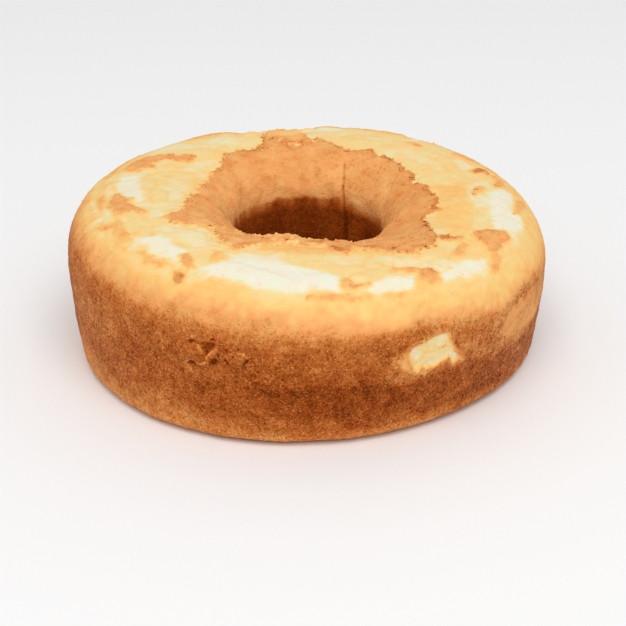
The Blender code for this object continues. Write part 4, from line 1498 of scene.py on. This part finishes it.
@cache
def cake_material():
    """Baked cake: smooth pale crumb, ragged browned skin and the grained brown of the side."""
    material = bpy.data.materials.new("baked_cake")
    material.use_nodes = True
    tree = material.node_tree
    shader = tree.nodes["Principled BSDF"]
    place = Wire.node(tree, "ShaderNodeTexCoord", output="Object")

    def value(name):
        return Wire.node(tree, "ShaderNodeAttribute", {"attribute_name": name}, output="Fac")

    def grain(size, detail):
        """Noise from -0.5 to 0.5 with spots of a size."""
        inputs = {"Vector": place, "Scale": 1.0 / (size * MM), "Detail": detail}
        return Wire.node(tree, "ShaderNodeTexNoise", inputs=inputs, output="Fac") - 0.5

    grains = [grain(*noise_size) for noise_size in GRAINS]
    _, fine, middle, broad = grains

    def blend(shares):
        """The sum of the four noises, each by its share."""
        return sum(share * noise_ for share, noise_ in zip(shares, grains) if share)

    on_top = value("ragged")
    ragged = value("skin_edge") + blend(SKIN_RAGGED)
    skin = ragged.eased(*SKIN_BLEND)
    rim = on_top * (skin - ragged.eased(*SKIN_RIM))
    halo = on_top * (ragged.eased(*CRUMB_HALO) - skin)
    layer = (value("layer_field") + middle * LAYER_RAGGED).eased(*LAYER_STEP)
    tone = value("crumb_tone") + (layer - layer * layer) * on_top * SHADES["layer_edge"]
    tone = tone + layer * SHADES["upper_layer"]
    tone = tone + (value("skin_tone") - tone) * skin
    drift = broad * SHADES["drift"]
    tone = tone + rim * (SHADES["skin_rim"] + drift) + halo * (SHADES["halo"] + drift)

    torn = value("tear_edge") + blend(TEAR_RAGGED)
    bare = torn.eased(*BARE_BLEND)
    scorched = torn.eased(*SCORCH_BLEND) - bare
    tone = tone + (SCORCH_TONE - tone) * scorched * SCORCH_STRENGTH
    tone = tone + (value("crumb_tone") - SCORCH_TONE + blend(BARE_GRAIN) - tone) * bare

    baked = tone.eased(*GRAINED_TONES)
    pale_skin = skin * on_top * (1.0 - baked)
    rough = baked * value("grain") + pale_skin * SKIN_GRAIN
    tone = tone + blend(CRUST_GRAIN) * rough
    tone = tone + blend(MOTTLING) * (1.0 + skin * on_top) * SHADES["mottling"]
    dark_specks, pale_flecks, pits = (
        grain(*size).eased(*edge) for size, edge in (DARK_SPECKS, PALE_FLECKS, PITS)
    )
    specks = dark_specks * SHADES["dark_speck"] + pale_flecks * SHADES["pale_fleck"]
    tone = tone + (specks + pits * SHADES["pit"]) * rough
    clusters = pale_skin * broad.eased(*CLUSTER_BLEND)
    tone = tone + (dark_specks + pits) * clusters * SHADES["cluster"]
    crack = 1.0 - (value("crack_line") + blend(CRACK_RAGGED)).eased(*CRACK_BLEND)
    tone = tone + crack * SHADES["crack"]

    tints = {"Fac": grain(*DRIFT_GRAIN) + 0.5}
    tint = Wire.node(tree, "ShaderNodeValToRGB", {"stops": DRIFT_TINTS}, tints, "Color")
    mix = {"data_type": "RGBA", "blend_type": "MULTIPLY"}
    first, second, mixed = COLOUR_SOCKETS
    tinted = {"Factor": 1.0, first: bake_colour(tree, tone), second: tint}
    colour = Wire.node(tree, "ShaderNodeMix", mix, tinted, mixed)
    flecks = {0: pale_flecks * rough * FLECK_STRENGTH, 1: FLECK_TINT, 2: colour}
    colour = Wire.node(tree, "ShaderNodeVectorMath", {"operation": "MULTIPLY_ADD"}, flecks)
    roughness = ROUGHNESS["plain"] + rough * ROUGHNESS["grained"] + fine * ROUGHNESS["fine"]
    bumps = blend(FINE_BUMPS) * (BUMPS["fine"] + rough * BUMPS["grained_fine"])
    bumps = bumps + middle * (BUMPS["middle"] + rough * BUMPS["grained_middle"])
    bumps = bumps + pits * rough * BUMPS["pits"] + crack * BUMPS["crack"]
    bumps = bumps + layer * on_top * (1.0 - skin) * BUMPS["layer"]
    bump = Wire.node(tree, "ShaderNodeBump", inputs={"Height": bumps, "Distance": BUMP_HEIGHT})
    for name, wire in {"Base Color": colour, "Roughness": roughness, "Normal": bump}.items():
        tree.links.new(wire.socket, shader.inputs[name])
    shader.inputs["Specular IOR Level"].default_value = SHINE
    shader.inputs["Specular Tint"].default_value = SHINE_TINT
    return material


def baked_surface(ring, sunk):
    """The fields of a ring, its tones and its points, which are sunk by the depths given."""
    edges = surface_edges(ring)
    smooth = smooth_surface(ring)
    points = smooth + faced(smooth) * (relief(ring, edges) - sunk)[..., None]
    return edges, surface_tones(ring, edges), points


@cache
def whole_ring(seed):
    """The whole ring, its fields, its tones and its points."""
    ring = Ring(cake_section(), section_parts(), uneven_turn(), seed)
    patches = [ring.in_patch(patch) for patch in (FOLD_PATCH, TEAR_PATCH)]
    bed = sum(PATCH_BED * ease(PATCH_LAP, PATCH_BED_FULL, inside) for inside in patches)
    return ring, *baked_surface(ring, bed)


class CAKE_OT_body(Operator):
    """Build the baked ring with its torn top, browned side and crack"""

    bl_idname = "cake.body"
    bl_label = "Cake ring"

    def execute(self, context):
        piece = turned_section("cake_ring")
        _, _, tones, points = whole_ring(context.scene.cake.seed)
        shaped(piece, points, tones, ring_places(piece.data))
        finished(piece)
        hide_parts(CAKE)
        return {"FINISHED"}


def lay_side_patch(name, patch, seed):
    """Lays a fine patch over the side: a grid bent round it, with its edges tucked in."""
    low_angle, high_angle, low, high = patch
    turns = round((high_angle - low_angle) * math.radians(BELLY_RADIUS) / PATCH_GRAIN)
    rows = round((high - low) / PATCH_GRAIN)
    outside = cake_section()[np.isin(section_parts(), ("shoulder", "side"))]
    heights = np.linspace(high, low, rows + 1)
    radii = np.interp(heights, outside[::-1, 1], outside[::-1, 0])
    section = np.stack([radii, heights], -1)
    turn = np.linspace(low_angle, high_angle, turns + 1)
    ring = Ring(section, np.repeat("side", rows + 1), turn, seed)
    tuck = PATCH_TUCK * (1.0 - ease(0.0, PATCH_LAP, ring.in_patch(patch)))
    _, tones, points = baked_surface(ring, tuck)

    grid = {"x_subdivisions": turns, "y_subdivisions": rows, "size": 1.0}
    piece = blank(lambda: bpy.ops.mesh.primitive_grid_add(**grid), name)
    right, back, _ = vertex_places(piece.data).T
    steps = np.rint((right + 0.5) * turns).astype(int)
    shaped(piece, points, tones, (steps, np.rint((0.5 - back) * rows).astype(int)))
    walled(piece, PATCH_WALL * MM)
    finished(piece)


class CAKE_OT_fold(Operator):
    """Lay the folded crust over the side"""

    bl_idname = "cake.fold"
    bl_label = "Folded crust"

    def execute(self, context):
        lay_side_patch("folded_crust", FOLD_PATCH, context.scene.cake.seed)
        return {"FINISHED"}


class CAKE_OT_tear(Operator):
    """Lay the torn crust and its bare crumb over the side"""

    bl_idname = "cake.tear"
    bl_label = "Torn crust"

    def execute(self, context):
        lay_side_patch("torn_crust", TEAR_PATCH, context.scene.cake.seed)
        return {"FINISHED"}


def surface_slopes(values):
    """How values change from each point of the ring to the next, round it and along a section."""
    return np.gradient(values, axis=0), np.gradient(values, axis=1)


def falling(points, field):
    """The directions along the surface in which a field falls fastest."""
    round_, down = surface_slopes(points)
    by_turn, by_point = surface_slopes(field)
    turn_square, point_square = (round_**2).sum(-1), (down**2).sum(-1)
    both = (round_ * down).sum(-1)
    turn_share = (point_square * by_turn - both * by_point)[..., None]
    point_share = (turn_square * by_point - both * by_turn)[..., None]
    slope = turn_share * round_ + point_share * down
    return -slope / (np.linalg.norm(slope, axis=-1, keepdims=True) + TINY)


def scattered(share, points, count, chance):
    """Picks points of the ring at random, in step with a share of each and the area round it."""
    round_, down = surface_slopes(points)
    share = (share * np.linalg.norm(np.cross(round_, down), axis=-1)).ravel()
    picks = chance.choice(share.size, count, replace=False, p=share / share.sum())
    return np.transpose(np.unravel_index(picks, points.shape[:2]))


def copied(model, place, tone):
    """A copy of a piece with its own mesh, put in its place and baked to a tone."""
    copy = model.copy()
    copy.data = model.data.copy()
    copy.data.transform(place)
    size = len(copy.data.vertices)
    for name, amount in {**ALL_SKIN, "skin_tone": tone}.items():
        point_values(copy.data, name, np.full(size, amount))
    bpy.context.collection.objects.link(copy)
    return copy


def gathered(model, copies):
    """Joins the copies into one piece and drops the model that they came from."""
    name = model.name
    bpy.data.objects.remove(model)
    bpy.ops.object.select_all(action="DESELECT")
    for copy in copies:
        copy.select_set(True)
    bpy.context.view_layer.objects.active = copies[0]
    bpy.ops.object.join()
    piece = bpy.context.object
    piece.name = name
    piece.data.name = name
    return piece


def placed(spot, out, up, sizes):
    """The place of a copy at a spot in millimetres, with its X and Z axes and its sizes."""
    up, out = Vector(up), Vector(out)
    out = (out - up * out.dot(up)).normalized()
    turn = Matrix((out, up.cross(out), up)).transposed().to_4x4()
    return Matrix.Translation(Vector(spot) * MM) @ turn @ Matrix.Diagonal((*sizes, 1.0))


def crumb_share(ring, edges):
    """How thickly loose crumbs lie at each point."""
    inner, outer = LOOSE_RADII
    loose = EDGE_SHARPNESS_LIMIT - round_ring(COLLAR_SHARPNESS, ring.angle)
    ragged_edge = EDGE_THICKNESS * loose * hill(edges["skin_edge"] / EDGE_CRUMBS_REACH)
    ragged_edge *= ring.spots(*EDGE_CRUMB_SPOTS) * ((ring.radius > inner) & (ring.radius < outer))
    near_rim = ring.near_place(*NEAR_CRUMBS) * ring.spots(*NEAR_CRUMB_SPOTS)
    anywhere = PLAIN_THICKNESS + SPOT_THICKNESS * ring.spots(*CRUMB_SPOTS)
    anywhere *= ring.radius > inner
    share = ragged_edge + NEAR_THICKNESS * near_rim + ring.near_place(*FAR_CRUMBS) + anywhere
    return share * (ring.on_top & (ring.height > LOOSE_HEIGHT))


class CAKE_OT_crumbs(Operator):
    """Scatter loose crumbs along the edge of the hole and the torn edges of the skin"""

    bl_idname = "cake.crumbs"
    bl_label = "Loose crumbs"

    def execute(self, context):
        settings = context.scene.cake
        chance = np.random.default_rng(settings.seed)
        ring, edges, tones, points = whole_ring(settings.seed)
        upward = faced(points)
        model = blank(lambda: bpy.ops.mesh.primitive_ico_sphere_add(subdivisions=1), "loose_crumbs")
        dent, fineness = CRUMB_DENTS
        for vertex in model.data.vertices:
            vertex.co *= 1.0 + dent * noise.noise(vertex.co * fineness)
        model.data.shade_smooth()
        share = crumb_share(ring, edges)
        least, more = CRUMB_SIZES
        copies = []
        for step, point in scattered(share, points, settings.crumb_count, chance):
            size = settings.crumb_size * (least + more * chance.uniform() ** 3)
            sizes = size * chance.uniform(*CRUMB_STRETCH, 3)
            browned = edges["skin_edge"][step, point] > CRUMB_BROWNED
            tone = tones["skin_tone" if browned else "crumb_tone"][step, point]
            spot = points[step, point] - upward[step, point] * size * CRUMB_SUNK / MM
            place = placed(spot, chance.normal(size=3), upward[step, point], sizes)
            copies.append(copied(model, place, tone + chance.uniform(*CRUMB_TONES)))
        finished(gathered(model, copies))
        return {"FINISHED"}


class CAKE_OT_flakes(Operator):
    """Stand curled flakes of skin along its torn edges"""

    bl_idname = "cake.flakes"
    bl_label = "Curled flakes"

    def execute(self, context):
        settings = context.scene.cake
        chance = np.random.default_rng(settings.seed + 1)
        ring, edges, tones, points = whole_ring(settings.seed)
        upward = faced(points)
        outward = falling(points, edges["skin_edge"])
        faces_along, faces_across = FLAKE_FACES
        grid = {"x_subdivisions": faces_along, "y_subdivisions": faces_across, "size": 1.0}
        model = blank(lambda: bpy.ops.mesh.primitive_grid_add(**grid), "skin_flakes")
        (curl_along, curl_across), (fray, fineness) = FLAKE_CURL, FLAKE_FRAY
        for vertex in model.data.vertices:
            out, side, _ = vertex.co
            out += 0.5
            frayed = fray * noise.noise(Vector((out * fineness, side * fineness, 0.0)))
            width = 1.0 - FLAKE_NARROWING * out * out + frayed
            curl = curl_along * out * out - curl_across * side * side
            vertex.co = (out - FLAKE_BULGE * side * side, side * width, curl)
        walled(model, FLAKE_WALL)
        model.data.shade_smooth()

        share = hill((edges["skin_edge"] - FLAKE_INSET) / FLAKE_BAND)
        share *= ring.on_top & (ring.height > SIDE_TOP)
        share *= round_ring(COLLAR_SHARPNESS, ring.angle) - FLAKE_SHARPNESS
        share *= ring.radius < LOOSE_RADII[1]
        copies = []
        for step, point in scattered(share, points, settings.flake_count, chance):
            sizes = settings.flake_length * chance.uniform(*FLAKE_SIZES, 3)
            out, up = outward[step, point], upward[step, point]
            root = points[step, point] - out * sizes[0] * FLAKE_ROOT / MM + up * FLAKE_LIFT
            tone = tones["skin_tone"][step, point] + chance.uniform(*FLAKE_TONES)
            copies.append(copied(model, placed(root, out, up, sizes), tone))
        finished(gathered(model, copies))
        return {"FINISHED"}


class CAKE_OT_stage(Operator):
    """Set out the floor, the light and the camera"""

    bl_idname = "cake.stage"
    bl_label = "Stage"

    def execute(self, context):
        settings = context.scene.cake_stage
        plain = bpy.data.materials.new("plain_floor")
        plain.use_nodes = True
        plain_shader = plain.node_tree.nodes["Principled BSDF"]
        plain_shader.inputs["Base Color"].default_value = (*settings.floor_colour, 1.0)
        plain_shader.inputs["Roughness"].default_value = FLOOR_ROUGHNESS
        circle = {"vertices": FLOOR_CORNERS, "radius": settings.floor_radius, "fill_type": "NGON"}
        circle["location"] = (0.0, 0.0, -FLOOR_DROP)
        floor = blank(lambda: bpy.ops.mesh.primitive_circle_add(**circle), "floor")
        floor.data.materials.append(plain)

        world = bpy.data.worlds.new("studio")
        context.scene.world = world
        world.use_nodes = True
        background = world.node_tree.nodes["Background"]
        background.inputs["Color"].default_value = (1.0, 1.0, 1.0, 1.0)
        background.inputs["Strength"].default_value = settings.sky_strength

        lamp_data = bpy.data.lights.new("soft_lamp", "AREA")
        lamp_data.shape = "SQUARE"
        lamp_data.size = LAMP_SIZE
        lamp_data.energy = settings.lamp_power
        lamp = bpy.data.objects.new("soft_lamp", lamp_data)
        lamp.location = LAMP_PLACE
        lamp.rotation_euler = (-lamp.location).to_track_quat("-Z", "Y").to_euler()
        context.scene.collection.objects.link(lamp)

        camera_data = bpy.data.cameras.new("camera")
        camera_data.lens = CAMERA_LENS
        camera = bpy.data.objects.new("camera", camera_data)
        camera.location = CAMERA_PLACE
        aim = Vector(CAMERA_AIM) - camera.location
        camera.rotation_euler = aim.to_track_quat("-Z", "Y").to_euler()
        context.scene.collection.objects.link(camera)
        context.scene.camera = camera
        context.scene.view_settings.view_transform = "Standard"
        return {"FINISHED"}


class CAKE_PT_panel(Panel):
    """Lists the pieces and their settings"""

    bl_idname = "CAKE_PT_panel"
    bl_label = "Angel food cake"
    bl_space_type = "VIEW_3D"
    bl_region_type = "UI"
    bl_category = "Cake"

    def draw(self, context):
        layout = self.layout
        for settings in (context.scene.cake, context.scene.cake_stage):
            for name in settings.__annotations__:
                layout.prop(settings, name)
        for operator in OPERATORS:
            layout.operator(operator.bl_idname)


OPERATORS = (
    CAKE_OT_body, CAKE_OT_fold, CAKE_OT_tear, CAKE_OT_crumbs, CAKE_OT_flakes, CAKE_OT_stage,
)
CLASSES = (CakeSettings, StageSettings, *OPERATORS, CAKE_PT_panel)


def register():
    for cls in CLASSES:
        bpy.utils.register_class(cls)
    bpy.types.Scene.cake = PointerProperty(type=CakeSettings)
    bpy.types.Scene.cake_stage = PointerProperty(type=StageSettings)


def unregister():
    del bpy.types.Scene.cake_stage
    del bpy.types.Scene.cake
    for cls in reversed(CLASSES):
        bpy.utils.unregister_class(cls)


def main():
    register()
    bpy.ops.cake.body()
    bpy.ops.cake.fold()
    bpy.ops.cake.tear()
    bpy.ops.cake.crumbs()
    bpy.ops.cake.flakes()
    bpy.ops.cake.stage()


if __name__ == "__main__":
    main()
